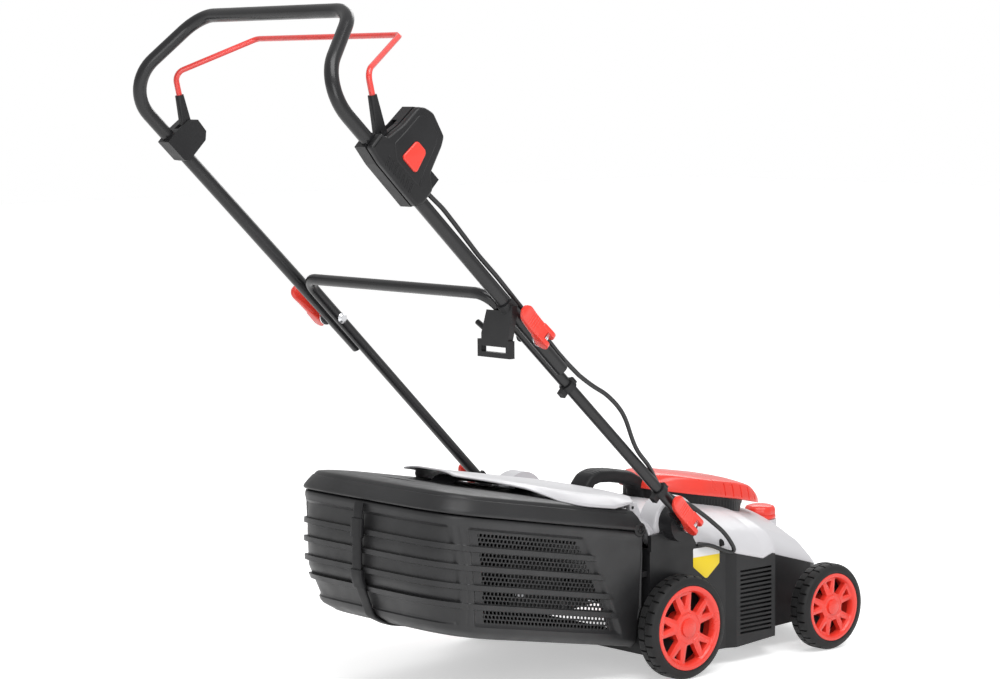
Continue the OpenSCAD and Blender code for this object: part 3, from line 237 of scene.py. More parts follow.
# finishes
# fills a node's inputs: another node's output is linked, a value is set
def fill(tree, node, inputs):
    for name, value in inputs.items():
        if isinstance(value, bpy.types.NodeSocket):
            tree.links.new(value, node.inputs[name])
        else:
            node.inputs[name].default_value = value
    return node


# a new node of a kind, with its inputs
def nodeOf(tree, kind, inputs):
    return fill(tree, tree.nodes.new("ShaderNode" + kind), inputs)


# a new material with its tree, its shader and the part's own frame
def newFinish(name):
    finish = bpy.data.materials.new(name)
    finish.use_nodes = True
    tree = finish.node_tree
    return finish, tree, tree.nodes["Principled BSDF"], nodeOf(tree, "TexCoord", {}).outputs["Object"]


# noise at a scale
def noiseAt(tree, coords, scale, detail, stretch=(1, 1, 1)):
    place = nodeOf(tree, "Mapping", {"Vector": coords, "Scale": stretch})
    noise = nodeOf(tree, "TexNoise", {"Vector": place.outputs["Vector"], "Scale": scale, "Detail": detail})
    return noise.outputs["Fac"]


# a value's range, the noise's middle if not given, spread over low to high
def spread(tree, value, low, high, least=0.3, most=0.7):
    return nodeOf(tree, "MapRange", {"Value": value, "From Min": least, "From Max": most, "To Min": low,
                                     "To Max": high}).outputs["Result"]


# a mix of two colours
def twoTone(tree, value, first, second):
    mix = nodeOf(tree, "Mix", {0: value})
    mix.data_type = "RGBA"
    return fill(tree, mix, {6: first, 7: second}).outputs[2]


# one moulded, painted or plated surface: slow colour drift, patchy gloss, a fine grain over soft waves;
# grain and waves are (fineness, height in mm)
def makeFinish(name, colour, drift, rough, grain, waves=(22, 0.02), metal=0.0, coat=0.0, specular=0.5,
               stretch=(1, 1, 1), sheen=0.0, dust=None):
    finish, tree, shader, coords = newFinish(name)
    slow = noiseAt(tree, coords, 9, 4)
    patch = noiseAt(tree, coords, 38, 5, stretch)
    fine = noiseAt(tree, coords, grain[0], 2, stretch)
    wave = noiseAt(tree, coords, waves[0], 3)
    colour = np.array(colour)
    tone = twoTone(tree, spread(tree, slow, 0, 1), (*colour * (1 - drift), 1),
                   (*np.minimum(colour * (1 + drift), 1), 1))
    if dust:
        tone = twoTone(tree, spread(tree, patch, 0, dust[1]), tone, (*dust[0], 1))
    soft = nodeOf(tree, "Bump", {"Strength": 1.0, "Distance": waves[1] / 1000, "Height": wave})
    bump = nodeOf(tree, "Bump", {"Strength": 1.0, "Distance": grain[1] / 1000, "Height": fine,
                                 "Normal": soft.outputs["Normal"]})
    fill(tree, shader, {"Base Color": tone, "Roughness": spread(tree, patch, *rough), "Metallic": metal,
                        "Coat Weight": coat, "Coat Roughness": 0.08, "Specular IOR Level": specular,
                        "Sheen Weight": sheen, "Normal": bump.outputs["Normal"]})
    return finish


# user values of every finish: colour, its drift, roughness from and to, grain, and what else it has
finishLooks = {
    "box_black": ((0.018, 0.018, 0.019), 0.2, (0.36, 0.5), (1500, 0.05),
                  dict(waves=(16, 0.05), specular=0.45)),
    "black_abs": ((0.0125, 0.0125, 0.0135), 0.22, (0.34, 0.5), (1500, 0.05),
                  dict(waves=(16, 0.05), specular=0.32)),
    "soft_black": ((0.009, 0.009, 0.010), 0.25, (0.45, 0.6), (900, 0.05), dict(specular=0.3)),
    "grey_abs": ((0.585, 0.58, 0.60), 0.025, (0.28, 0.4), (1500, 0.03), dict(waves=(14, 0.05))),
    "red_abs": ((0.80, 0.045, 0.028), 0.06, (0.24, 0.36), (1500, 0.03), dict(waves=(14, 0.05), coat=0.15)),
    "black_paint": ((0.010, 0.010, 0.011), 0.2, (0.24, 0.36), (420, 0.02), dict(coat=0.12, specular=0.4)),
    "red_paint": ((0.75, 0.045, 0.035), 0.06, (0.2, 0.3), (420, 0.02), dict(coat=0.6)),
    "zinc": ((0.72, 0.73, 0.75), 0.08, (0.22, 0.42), (800, 0.02), dict(metal=1.0)),
    "blade_steel": ((0.5, 0.51, 0.53), 0.12, (0.3, 0.5), (160, 0.03), dict(metal=1.0, stretch=(1, 14, 14))),
    "die_cast": ((0.56, 0.57, 0.58), 0.1, (0.45, 0.65), (700, 0.08), dict(metal=0.9)),
    "laminations": ((0.34, 0.33, 0.33), 0.12, (0.4, 0.6), (1000, 0.12),
                    dict(metal=0.85, stretch=(0.1, 0.1, 2))),
    "tyre_rubber": ((0.012, 0.012, 0.0125), 0.3, (0.5, 0.72), (700, 0.1),
                    dict(waves=(60, 0.1), specular=0.28, sheen=0.03, dust=((0.03, 0.029, 0.028), 0.25))),
    "cable_pvc": ((0.014, 0.014, 0.015), 0.25, (0.36, 0.5), (900, 0.03), dict()),
    "pin_brass": ((0.78, 0.57, 0.24), 0.1, (0.18, 0.34), (700, 0.02), dict(metal=1.0)),
}
finishes = {name: makeFinish(name, *look, **more) for name, (*look, more) in finishLooks.items()}
for part in record["subparts"]:
    for material in frame["nodes"][part["node"]].material_slots:
        material.material = finishes[part["material_slot"]]
print("finishes made:", len(finishes))


# an object made from its data, in the scene
def addObject(name, data):
    thing = bpy.data.objects.new(name, data)
    bpy.context.scene.collection.objects.link(thing)
    return thing


# one piece from several surfaces, in place, riding on its body and standing for the nodes it replaces
def makePiece(name, surfaces, slotName, body, standsFor=(), wall=0.0, sharp=38, finish=None, blend=None):
    points, faces, start = [], [], 0
    for surfacePoints, surfaceFaces in surfaces:
        points.append(surfacePoints)
        faces += [[i + start for i in face] for face in surfaceFaces]
        start += len(surfacePoints)
    mesh = bpy.data.meshes.new(name)
    mesh.from_pydata(inMetres(np.concatenate(points)).tolist(), [], faces)
    mesh.shade_smooth()
    mesh.set_sharp_from_angle(angle=math.radians(sharp))
    mesh.materials.append(finish or finishes[slotName])
    piece = addObject(name, mesh)
    if wall:
        thick = piece.modifiers.new("wall", "SOLIDIFY")
        thick.thickness = wall / 1000
        thick.offset = -1
    if blend:
        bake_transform(piece)
    else:
        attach(piece, body)
    if standsFor:
        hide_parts(*standsFor)
    return piece


# wheels
# profile is (below the tread, height), from the rim outward to the middle
tyreShape = {"lugs": 28, "grooveDepth": 3.0, "rubber": 14, "middle": 18, "notchEnd": 30, "deck": 0.5,
             "profile": [[14, 33], [13, 35.2], [11.5, 35.8], [9, 35.6], [8, 35], [5, 34.6], [3.4, 33.6],
                         [1.8, 31.6], [0.5, 29.5], [0, 27], [0, 19.6], [0, 18.8], [2.2, 18.2]]}
# windows are (inner and outer share of the radius, half angle at each); the rest is in mm from the deck side
rimShape = {"big": (0.41, 0.855, 14.5, 17.5), "small": (0.54, 0.79, 1.5, 8.6), "turn": 10, "windows": 5,
            "bigCorner": 3.0, "smallCorner": 1.2, "faceBack": 22.0, "hub": 0.223, "boss": 0.36, "bore": 0.16,
            "band": 3.6, "columns": 264, "backLow": 4, "backHigh": 6,
            "face": ([0, 0.34, 0.38, 0.6, 0.85, 0.89, 0.93, 1], [33, 33, 32, 31.2, 31.4, 34.4, 35.2, 35.0])}


# wheel frame: radius and angle about the axle, height outward from the deck side
def onWheel(side, y, radius):
    inner = lowTyre[0] - tyreShape["deck"]
    return lambda r, t, h: np.stack([side * (inner + h), y + r * np.sin(t), radius - r * np.cos(t)], -1)


# tyre: a profile and its mirror image turned round; lugs stay and grooves sink between them, half a pitch
# apart on the two sides
def tyreSurface(radius, place):
    middle, half = tyreShape["middle"], np.array(tyreShape["profile"])
    profile = np.roll(np.concatenate([half, half[::-1] * [1, -1] + [0, 2 * middle]]), 1, 0)
    profile[:, 0] = radius - profile[:, 0]
    steps = np.array([0, 0.03, 0.07, 0.18, 0.22, 0.36, 0.5, 0.53, 0.57, 0.68, 0.72, 0.86])
    period = (np.arange(tyreShape["lugs"])[:, None] + steps).ravel() / tyreShape["lugs"]
    share = np.tile(steps, tyreShape["lugs"])
    r = np.broadcast_to(profile[:, :1], (len(profile), len(period))).copy()
    h = np.broadcast_to(profile[:, 1:], r.shape)
    first = ((share > 0.05) & (share < 0.2))[None] & (h > middle + 0.5) & (h < tyreShape["notchEnd"])
    second = ((share > 0.55) & (share < 0.7))[None] & (h < middle - 0.5)
    sunk = (first | second) & (r > radius - 6)
    r = np.where(sunk, np.minimum(r, radius - tyreShape["grooveDepth"] - np.abs(h - middle) * 0.12), r)
    return sheetOf(place(r, 2 * np.pi * np.broadcast_to(period, r.shape), h), wrapRows=True, wrapCols=True)


# signed distance to the nearest rounded window: positive on the spokes
def windowDistance(x, y, radius):
    r, angle = np.hypot(x, y), np.degrees(np.arctan2(y, x))
    best = np.full(r.shape, 99.0)
    step = 360 // rimShape["windows"]
    for kind, turn in (("big", 0), ("small", step // 2)):
        inner, outer, low, high = rimShape[kind]
        local = (angle - rimShape["turn"] - turn + step // 2) % step - step // 2
        corner = rimShape[kind + "Corner"]
        half = np.interp(r, [inner * radius, outer * radius], [low, high])
        across = (np.abs(local) - half) * np.radians(1) * r + corner
        length = np.abs(r - (inner + outer) / 2 * radius) - (outer - inner) / 2 * radius + corner
        outside = np.hypot(np.maximum(across, 0), np.maximum(length, 0))
        best = np.minimum(best, outside + np.minimum(np.maximum(across, length), 0) - corner)
    return best


# rim: a dished disc whose windows are cut where the distance is negative; grid points beside an edge are
# moved on to it, and the points just inside drop to the back, which makes the windows' walls
def rimSurfaces(radius, place):
    r = np.linspace(rimShape["bore"] * radius, radius - 0.1, 60)[:, None]
    t = around(rimShape["columns"])[None]
    x, y = r * np.cos(t), r * np.sin(t)
    d = windowDistance(x, y, radius)
    gx = (windowDistance(x + 0.05, y, radius) - windowDistance(x - 0.05, y, radius)) / 0.1
    gy = (windowDistance(x, y + 0.05, radius) - windowDistance(x, y - 0.05, radius)) / 0.1
    onEdge = np.abs(d) < 0.55
    inEdge = (d <= -0.55) & (d > -1.9)
    goal = np.where(onEdge, 0.0, np.where(inEdge, -0.5, d))
    x, y = x - (d - goal) * gx, y - (d - goal) * gy
    share = np.hypot(x, y) / radius
    top = np.interp(share, *rimShape["face"])
    crown = 1.5 * ease(goal, 0.0, 5.0) * (share > 0.36) * (share < 0.88)
    high = np.where(inEdge, rimShape["faceBack"], top - 1.2 + crown * 0.8 + 1.2 * (share >= 0.88))
    gone = d < -0.55
    gone = gone & np.roll(gone, -1, 1)
    keep = ~(gone[:-1] & gone[1:])
    dist, spin = np.hypot(x, y), np.arctan2(y, x)
    front = sheetOf(place(dist, spin, high), wrapCols=True, keep=keep)
    back = place(dist, spin, rimShape["faceBack"] + 0 * dist).reshape(-1, 3)
    hub, boss, band = rimShape["hub"] * radius, rimShape["boss"] * radius, radius - rimShape["band"]
    bandRing = [[radius - 0.1, 2], [radius, 3], [radius, 34.6], [radius - 1, 35], [band, 34], [band, 2]]
    hubCap = [[0.5, 35.2], [hub - 1.6, 35.0], [hub - 0.3, 34.2], [hub, 33], [hub, 30], [0.5, 30]]
    bossBarrel = [[boss, 24], [boss, 1], [0.5, 1], [0.5, 24]]
    return [front, (back, [f[::-1] for f in front[1]]), ringSheet(bandRing, place),
            ringSheet(hubCap, place, False), ringSheet(bossBarrel, place, False)]


# (radius, height) points turned about the axle
def ringSheet(profile, place, hollow=True):
    profile = np.array(profile)[:, :, None] + 0 * around(96)
    grid = place(profile[:, 0], around(96) + 0 * profile[:, 0], profile[:, 1])
    return sheetOf(grid, wrapCols=True, wrapRows=hollow, capRows=not hollow)


# back disc: a thin dark ring behind the spokes
def backDisc(radius, place):
    low, high, outer = rimShape["backLow"], rimShape["backHigh"], radius - rimShape["band"] - 0.1
    return ringSheet([[0.3 * radius, low], [outer, low], [outer, high], [0.3 * radius, high]], place)


hands = ((1, "right"), (-1, "left"))
wheelsAt = (("rear_", 0.0, (highTyre[2] - lowTyre[2]) / 2),
            ("front_", wheelBase, (highFront[2] - lowFront[2]) / 2))
for axle, y, radius in wheelsAt:
    rim = radius - tyreShape["rubber"]
    for side, hand in hands:
        wheel, which = onWheel(side, y, radius), axle + hand
        body = "wheel_" + which
        makePiece("treadedTyre_" + which, [tyreSurface(radius, wheel)], "tyre_rubber", body,
                  ["tyre_" + which], sharp=30)
        makePiece("spokedRim_" + which, rimSurfaces(rim, wheel), "red_abs", body, ["rim_" + which], sharp=42)
        makePiece("wheelBack_" + which, [backDisc(rim, wheel)], "soft_black", body)
print("wheels made")

# grass box
boxShape = {"bands": 5, "pitch": 26.3, "topBand": 137.0, "holeCells": 4, "recess": 4.6, "lean": 0.33,
            "wall": 2.2, "panelRear": -348, "pillarRear": -371, "holesRear": -332, "groove": 359,
            "frontEnd": -144, "frontLean": 0.80, "depth": 96, "rearPower": 0.62, "sidePower": 0.42,
            "holeEdges": (-8.1, -4.3, -1.9, 1.9, 4.3, 8.1), "ribEdges": (-4.6, -3.6, 3.6, 4.6)}
boxLevels = np.array([[0, 156, 334], [8, 166, 356], [60, 174, 388], [110, 178, 396], [168, 181, 400]])
sideSteps, rearSteps = 204, 72


# half a plan ring: straight side, then the bowed superellipse rear, for each half width, length and front
def halfPlan(half, length, fore):
    half, length, fore = (np.asarray(v, float)[..., None] for v in (half, length, fore))
    depth, rear, flank = boxShape["depth"], boxShape["rearPower"], boxShape["sidePower"]
    bow = length - depth
    corner = -bow - depth * math.sqrt(0.5) ** rear
    f = np.linspace(0, 1, sideSteps)
    g = np.linspace(0, 1, rearSteps + 1)[1:]
    ySide = -fore + f * (corner + fore)
    sine = np.clip((-ySide - bow) / depth, 0, 1) ** (1 / rear)
    xSide = half * np.clip(1 - sine ** 2, 0, 1) ** (flank / 2)
    xRear = half * math.sqrt(0.5) ** flank * (1 - g)
    cosine = (xRear / half) ** (1 / flank)
    yRear = -bow - depth * np.clip(1 - cosine ** 2, 0, 1) ** (rear / 2)
    return np.concatenate([xSide, xRear], -1), np.concatenate([ySide, yRear], -1)


# where the side's panel and its holes end toward the front, which leans with the height
def panelFront(z):
    return boxShape["frontEnd"] + boxShape["frontLean"] * (boxShape["topBand"] - z)


# box wall: the plan ring at each height, pushed out by ribs and in by panels; the faces of the holes are left
# out, three of every four cells in rows of three to a band; then the floor and the frame of the front opening
def boxSurfaces(side):
    top, lean, recess = boxShape["topBand"], boxShape["lean"], boxShape["recess"]
    centres = top - boxShape["pitch"] * np.arange(boxShape["bands"])
    ribs = (centres[:-1] + centres[1:]) / 2
    z = np.unique(np.round(np.concatenate([
        [0, 1.5, 4, 8, 12, 17, 19, 22, 147, 149, 151, 153, 155, 159, 163, 166.6],
        (centres[:, None] + boxShape["holeEdges"]).ravel(),
        (ribs[:, None] + boxShape["ribEdges"]).ravel()]), 2))
    half = softTable(z, boxLevels, 3)
    half[0], length = boxLevels[0, 1], softTable(z, boxLevels, 3, 2)
    x, y = halfPlan(half, length, z * math.tan(tiltBox))
    zz = np.broadcast_to(z[:, None], x.shape)
    tangent = unit(np.stack([np.gradient(x, axis=1), np.gradient(y, axis=1)], -1))
    column = np.arange(x.shape[1])
    atRear = column >= sideSteps
    frontEnd = panelFront(zz)
    shifted = y - lean * (top - zz)
    flank, pillar = (ease(shifted, boxShape[k] - 3, boxShape[k] + 3) for k in ("panelRear", "pillarRear"))
    flank = flank * (1 - ease(y, frontEnd + 10, frontEnd + 18)) * ~atRear
    panel = np.maximum(flank, np.maximum(1 - pillar, atRear)) * ease(zz, 16, 21) * (1 - ease(zz, 149, 153))
    ribRow = np.max(1 - ease(np.abs(zz[..., None] - ribs), 3.6, 4.6), -1)
    longRib = np.maximum(1 - ease(y, frontEnd + 16, frontEnd + 26), atRear)
    proud = np.where(atRear | (shifted < boxShape["pillarRear"]), 1.0, 0.9)
    push = -recess * panel + (recess * panel + proud) * ribRow * longRib
    push += 1.2 * (ease(zz, 155, 157) - ease(zz, 165, 167))
    groove = np.exp(-((shifted + boxShape["groove"]) / 1.6) ** 2) * ~atRear
    push -= 1.3 * groove * ease(zz, 12, 20) * (1 - ease(zz, 150, 160))
    x, y = x - push * tangent[..., 1], y + push * tangent[..., 0]
    middle = (z[:-1] + z[1:]) / 2
    away = middle[:, None] - centres
    away = away[np.arange(len(middle)), np.argmin(np.abs(away), 1)]
    rowBand = np.abs(away)
    row = np.argmin(np.abs(away[:, None] - np.array([-6.2, 0, 6.2])), 1)
    inHole = (rowBand < 1.8) | ((rowBand > 4.4) & (rowBand < 8.0))
    cells = column[:-1][None]
    yMid, zMid = (y[:-1, :-1] + y[1:, 1:]) / 2, middle[:, None]
    yRear = boxShape["holesRear"] + lean * (top - zMid)
    holes = inHole[:, None] & ((cells + 2 * row[:, None]) % boxShape["holeCells"] != 3)
    holes &= (yMid > yRear) & (yMid < panelFront(zMid)) & (cells < sideSteps)
    wall = sheetOf(onBox(side * np.maximum(x, 0.15), y, zz), keep=~holes)
    fade = np.linspace(1, 0, 5)[:, None]
    floor = sheetOf(onBox(side * np.maximum(x[:1] * fade, 0.15), y[:1] + 0 * fade, 0 * fade + zz[:1]))
    facing = [[0.15, 0], [156, 0], [178, 60], [181, 166], [0.15, 166]]
    mouth = [[0.15, 18], [134, 18], [136, 60], [136, 150], [0.15, 150]]
    share = np.linspace(0, 1, 9)
    outer, inner = (np.concatenate([np.linspace(line[i], line[i + 1], 8) for i in range(4)])
                    for line in (facing, mouth))
    both = outer[None] + (inner - outer)[None] * share[:, None, None]
    front = sheetOf(onBox(side * both[..., 0], -both[..., 1] * math.tan(tiltBox), both[..., 1]))
    return [wall, facingWay(floor, (0, 0, -1)), facingWay(front, (0, 1, 0))]


for side, hand in hands:
    makePiece("ribbedBoxHalf_" + hand, boxSurfaces(side), "black_abs", "grass_box", ["box_" + hand],
              wall=boxShape["wall"], sharp=34, finish=finishes["box_black"])

lidShape = {"profile": [[0.8, 0.2], [-1.0, 0.7], [-1.7, 1.8], [-1.6, 5], [0.4, 9.6], [5.6, 19.5],
                        [10.4, 26.2], [11.6, 27.6], [14, 28.5], [20, 29.9], [28, 31.2], [44, 32.6], [60, 33]],
            "wall": 2.2, "half": 182, "length": 402, "foot": 168, "crease": 23.5}


# lid: the plan ring drawn in and lifted along a stepped profile, then closed across the top and at the front
def lidSurfaces():
    profile = evenPath(lidShape["profile"], 46, 1)
    inset, h = profile[:, 0], profile[:, 1]
    foot = lidShape["foot"]
    x, y = halfPlan(lidShape["half"] - inset, lidShape["length"] - inset,
                    np.maximum(inset, 0) + (foot + h) * math.tan(tiltBox))
    crease = 1.1 * np.exp(-((h[:, None] - lidShape["crease"]) / 0.8) ** 2) * (y < -60)
    zz = foot + np.broadcast_to(h[:, None], x.shape) - crease
    x, y, zz = (np.concatenate([v, np.repeat(v[-1:], 8, 0)]) for v in (x, y, zz))
    x[-8:] *= 1 - np.linspace(0.125, 1, 8)[:, None]
    zz[-8:] += 0.9 * np.sin(np.linspace(0, np.pi / 2, 8))[:, None]
    grid = onBox(*(np.concatenate([v, mirror * v[:, -2::-1]], 1) for v, mirror in ((x, -1), (y, 1), (zz, 1))))
    points, faces = sheetOf(grid)
    rows, cols = grid.shape[:2]
    ends = np.concatenate([np.arange(rows) * cols, (np.arange(rows) * cols + cols - 1)[::-1]])
    return [(points, faces + [ends.tolist()])]


makePiece("steppedLid", lidSurfaces(), "black_abs", "grass_box", ["box_lid"], wall=lidShape["wall"], sharp=24,
          finish=finishes["box_black"])
lidHandle = {"line": [[-96, 198], [-100, 206], [-110, 210.8], [-250, 210.8], [-260, 206], [-264, 198]],
             "half": 23, "thick": 3.4}


# (y, z) points along the box's middle, at even steps
def boxLine(points, count, passes):
    line = evenPath(points, count, passes)
    return onBox(0 * line[:, 0], line[:, 0], line[:, 1])


handleSection = squareRound(lidHandle["half"], lidHandle["thick"], 0.5, 24)
makePiece("lidHandle", [solidOf(carried(boxLine(lidHandle["line"], 60, 6), handleSection))], "soft_black",
          "grass_box")

strapShape = {"half": 9.5, "thick": 1.8, "buckles": (0.66, 0.93), "buckle": (12, 4.2),
              "line": [[-240, -3], [-330, -3], [-360, 6], [-393, 60], [-401.5, 110], [-406, 150],
                       [-405.5, 164]]}
strapPath = boxLine(strapShape["line"], 90, 5)
strapSurfaces = [solidOf(carried(strapPath, squareRound(strapShape["half"], strapShape["thick"], 0.4, 20)))]
for at in strapShape["buckles"]:
    near = strapPath[int(at * 80):int(at * 80) + 9]
    strapSurfaces.append(solidOf(carried(near, squareRound(*strapShape["buckle"], 0.45, 24))))
makePiece("buckledStrap", strapSurfaces, "soft_black", "grass_box", ["box_strap"], sharp=40)

cornerBoss = {"at": (176.0, -37.0, 170.0),
              "cup": [[0.4, 0], [10.5, 0], [10.5, 6.6], [9.3, 7.8], [6, 7.8], [5.6, 6.4], [0.4, 6.4]],
              "screw": [[0.4, 6], [4.4, 6], [4.4, 7.4], [3.4, 8], [1.4, 8], [1.2, 7.2], [0.4, 7.2]]}
bossSurfaces, screwSurfaces = [], []
for side in (1, -1):
    at = onBox(side * cornerBoss["at"][0], *cornerBoss["at"][1:])
    bossSurfaces.append(solidOf(turned(cornerBoss["cup"], at, (side, 0, 0))))
    screwSurfaces.append(solidOf(turned(cornerBoss["screw"], at, (side, 0, 0), 24)))
makePiece("boxCornerBosses", bossSurfaces, "black_abs", "grass_box")
makePiece("boxCornerScrews", screwSurfaces, "soft_black", "grass_box")
print("grass box made")

# rear flap
flapShape = {"length": 262, "thick": 2.4, "edge": 8.0, "arch": 9.0, "archHalf": 178, "wave": 0.5, "tail": 2.5,
             "tailFrom": 180, "droopWide": 32, "ringsAt": (-100, 0, 100), "ringHalf": 14,
             "droopAt": (0, 30, 56, 150, 182, 214, 262), "droop": (0, 4, 12.5, 12.5, 5, 4, 4),
             "ring": [[5, -14], [5, 14], [4.2, 14.6], [2.55, 14.6], [2.55, -14.6], [4.2, -14.6]],
             "tab": [[-4, 3.5], [4, 3.5], [4, 15.5], [-4, 15.5]]}
halfAt = np.array([[0, 143], [5, 146], [16, 172], [32, 175], [110, 175], [130, 170], [150, 160], [165, 146],
                   [180, 128], [205, 96], [230, 76], [262, 62]])


# flap: across and back from the hinge; it arches over the lid, and its free edges droop and ripple a little
def flapSurfaces():
    back = np.linspace(-3, flapShape["length"] - 0.5, 90)[:, None]
    across = np.linspace(-1, 1, 81)[None]
    half = softTable(back, halfAt, 6)
    half = np.where(back > 250, half - (np.maximum(back - 250, 0) / 12) ** 2 * 9, half)
    x = across * half
    arch = 1 - np.minimum(1, np.abs(x) / flapShape["archHalf"]) ** 3
    rise = flapShape["edge"] + flapShape["arch"] * arch
    rise = rise + flapShape["tail"] * ease(back, flapShape["tailFrom"], flapShape["length"])
    droop = np.interp(back, flapShape["droopAt"], flapShape["droop"])
    rise = rise - droop * (1 - np.clip((half - np.abs(x)) / flapShape["droopWide"], 0, 1)) ** 1.6
    rise = rise + flapShape["wave"] * np.sin(back / 24) * np.abs(across) ** 8 * ease(back, 34, 60)
    return [facingWay(sheetOf(onFlap(x, back + 0 * x, rise + flapShape["thick"])), (0, 0, 1))]


makePiece("archedFlap", flapSurfaces(), "grey_abs", "flap", ["rear_flap"], wall=flapShape["thick"])
ringSurfaces = []
for x in flapShape["ringsAt"]:
    ringSurfaces.append(sheetOf(turned(flapShape["ring"], (x, *hinge[1:]), (1, 0, 0), 32), wrapCols=True,
                                wrapRows=True))
    low, high = x - flapShape["ringHalf"], x + flapShape["ringHalf"]
    ringSurfaces.append(solidSlab(flapShape["tab"], 40, 1, low, high, 0.8, lambda u, v, w: onFlap(w, -u, v)))
makePiece("flapHingeRings", ringSurfaces, "grey_abs", "flap")
print("flap made")

# hood
hoodShape = {"seat": 167.0, "knobY": 375.0, "knobR": 27.4, "wall": 2.6, "noseAt": 330, "noseLong": 95,
             "noseHalf": 150, "nosePower": 1.45, "slats": (391, 421, 0.8), "slatPitch": 1.6,
             "ears": (150.0, 10, 220), "lugSides": (144, 152),
             "ear": [[0.5, 0], [42, 0], [42, 28.6], [41.2, 31.2], [39, 32.8], [36, 33.4], [13, 33.4],
                     [0.5, 33.4]],
             "lug": [[-52, 240], [-52, 254], [-38, 254], [-30, 236], [-30, 226], [-41, 226]],
             "seatRing": [[0.5, -30], [26, -30], [26, -1.6], [25.6, -0.6], [24.8, -0.3], [0.5, -0.3]]}
seamTable = np.array([[-42, 190], [30, 189], [70, 184], [112, 170], [128, 164], [184, 150], [204, 156],
                      [334, 120], [425, 98]])
crownTable = np.array([[-42, 238], [0, 238], [60, 235], [175, 223], [340, 187], [375, 166], [407, 143],
                       [425, 128]])
halfTable = np.array([[-42, 183], [112, 183], [128, 190], [210, 190], [236, 150], [330, 150]])


# half width of the hood: a table as far as the nose, then part of a superellipse
def hoodHalf(y):
    at, power = hoodShape["noseAt"], hoodShape["nosePower"]
    nose = np.clip((y - at) / hoodShape["noseLong"], 0, 1)
    nose = hoodShape["noseHalf"] * np.maximum(1 - nose ** power, 0) ** (1 / power)
    return np.where(y <= at, np.interp(y, *halfTable.T), nose)


# hood: a superellipse arch from seam to seam at every station along the mower, with a raised line on each
# side and a flat seat under the knob; a patch of the nose is left out of it and made of slats instead
def hoodSurfaces():
    nose = hoodShape["noseAt"] + hoodShape["noseLong"] * (1 - (1 - np.linspace(0, 1, 60)) ** 2)
    y = np.concatenate([np.linspace(-42, 100, 30), np.linspace(104, 240, 60), np.linspace(244, 328, 26),
                        nose[:-2]])[:, None]
    a = np.linspace(0, np.pi, 141)[None]
    half = np.maximum(hoodHalf(y), 1)
    low = np.interp(y, *seamTable.T)
    high = softTable(y, crownTable, 8)
    power = 0.5 + 0.4 * np.clip((y + 42) / 170, 0, 1)
    power = power + 0.33 * ease(y, 215, 330) + 0.4 * ease(y, 290, 380)
    x = half * signPower(np.cos(a), power)
    z = low + (high - low) * np.abs(np.sin(a)) ** power
    z = z + 1.6 * ease(y, 205, 260) * np.exp(-((np.sin(a) - 0.55) / 0.08) ** 2)
    fromKnob = np.hypot(x, y - hoodShape["knobY"])
    z = np.where(fromKnob < hoodShape["knobR"], np.minimum(z, hoodShape["seat"] - 0.4), z)
    grid = np.stack([x, y + 0 * x, z], -1)
    rear, front, wide = hoodShape["slats"]
    zone = (y > rear) & (y < front) & (np.abs(np.cos(a)) < wide)
    zone = zone[:-1, :-1] & zone[1:, 1:] & zone[:-1, 1:] & zone[1:, :-1]
    slats = grid - [0, 0.6, 0.2] + np.sin(z * hoodShape["slatPitch"])[..., None] * [0, 0.6, 0]
    skin = facingWay(sheetOf(grid, keep=~zone), (0, 0, 1))
    return [skin], [facingWay(sheetOf(slats, keep=zone), (0, 1, 1))]


hoodSkin, noseSlats = hoodSurfaces()
makePiece("noseSlats", noseSlats, "soft_black", "chassis", ["nose_grille"], wall=1.2)
makePiece("smoothHood", hoodSkin, "grey_abs", "chassis", ["hood"], wall=hoodShape["wall"], sharp=30)
earSurfaces = []
for side in (1, -1):
    ear = turned(hoodShape["ear"], (side * hoodShape["ears"][0], *hoodShape["ears"][1:]), (side, 0, 0), 96)
    ear[..., 2] = np.maximum(ear[..., 2], np.interp(ear[..., 1], *seamTable.T) + 0.2)
    earSurfaces.append(solidOf(ear))
    low, high = sorted(side * v for v in hoodShape["lugSides"])
    earSurfaces.append(solidSlab(hoodShape["lug"], 60, 2, low, high, 1, onSide))
knobSeat = turned(hoodShape["seatRing"], (0, hoodShape["knobY"], hoodShape["seat"]), (0, 0, 1), 64)
earSurfaces.append(solidOf(knobSeat))
makePiece("hoodEarsAndSeat", earSurfaces, "grey_abs", "chassis")

# front knob
knobShape = {"lobes": 6, "depth": 0.045, "at": (0, 375, 167.3),
             "foot": [[0.5, 0], [23.6, 0], [24.6, 0.8], [25, 3], [24.8, 5], [24, 6]],
             "cap": [[23.2, 5.6], [24.4, 7], [24.6, 10], [24.2, 14.5], [23, 17.6], [21.5, 19.6], [17, 21.2],
                     [10, 22.2], [3, 22.6], [0.5, 22.6]]}
# a wave of the radius makes the lobes
lobed = 1 - knobShape["depth"] * (0.5 - 0.5 * np.cos(knobShape["lobes"] * around(96))) ** 2
knobLow = turned(knobShape["foot"], knobShape["at"], (0, 0, 1), 96)
knobTop = turned(knobShape["cap"], knobShape["at"], (0, 0, 1), 96, lobed)
makePiece("lobedKnob", [solidOf(knobLow), solidOf(knobTop)], "red_abs", "height_knob", ["front_knob"],
          sharp=34)

# motor cover
coverShape = {"half": (81, 112), "middle": 209, "power": 0.55, "dip": 5.0, "slant": 15.0, "taper": 0.32,
              "bandHalf": (75, 95), "bandMiddle": 199,
              "grooves": (216, 234, 252, 270, 287), "grooveDepth": 2.4,
              "profile": [[0.4, -0.2], [0, 0.6], [0.5, 6], [2.2, 14], [4.8, 21.4], [6.0, 23.4], [8.6, 24.6],
                          [15, 26.2], [27, 28.2], [38, 29.6], [46, 30.1], [60, 30.8]]}


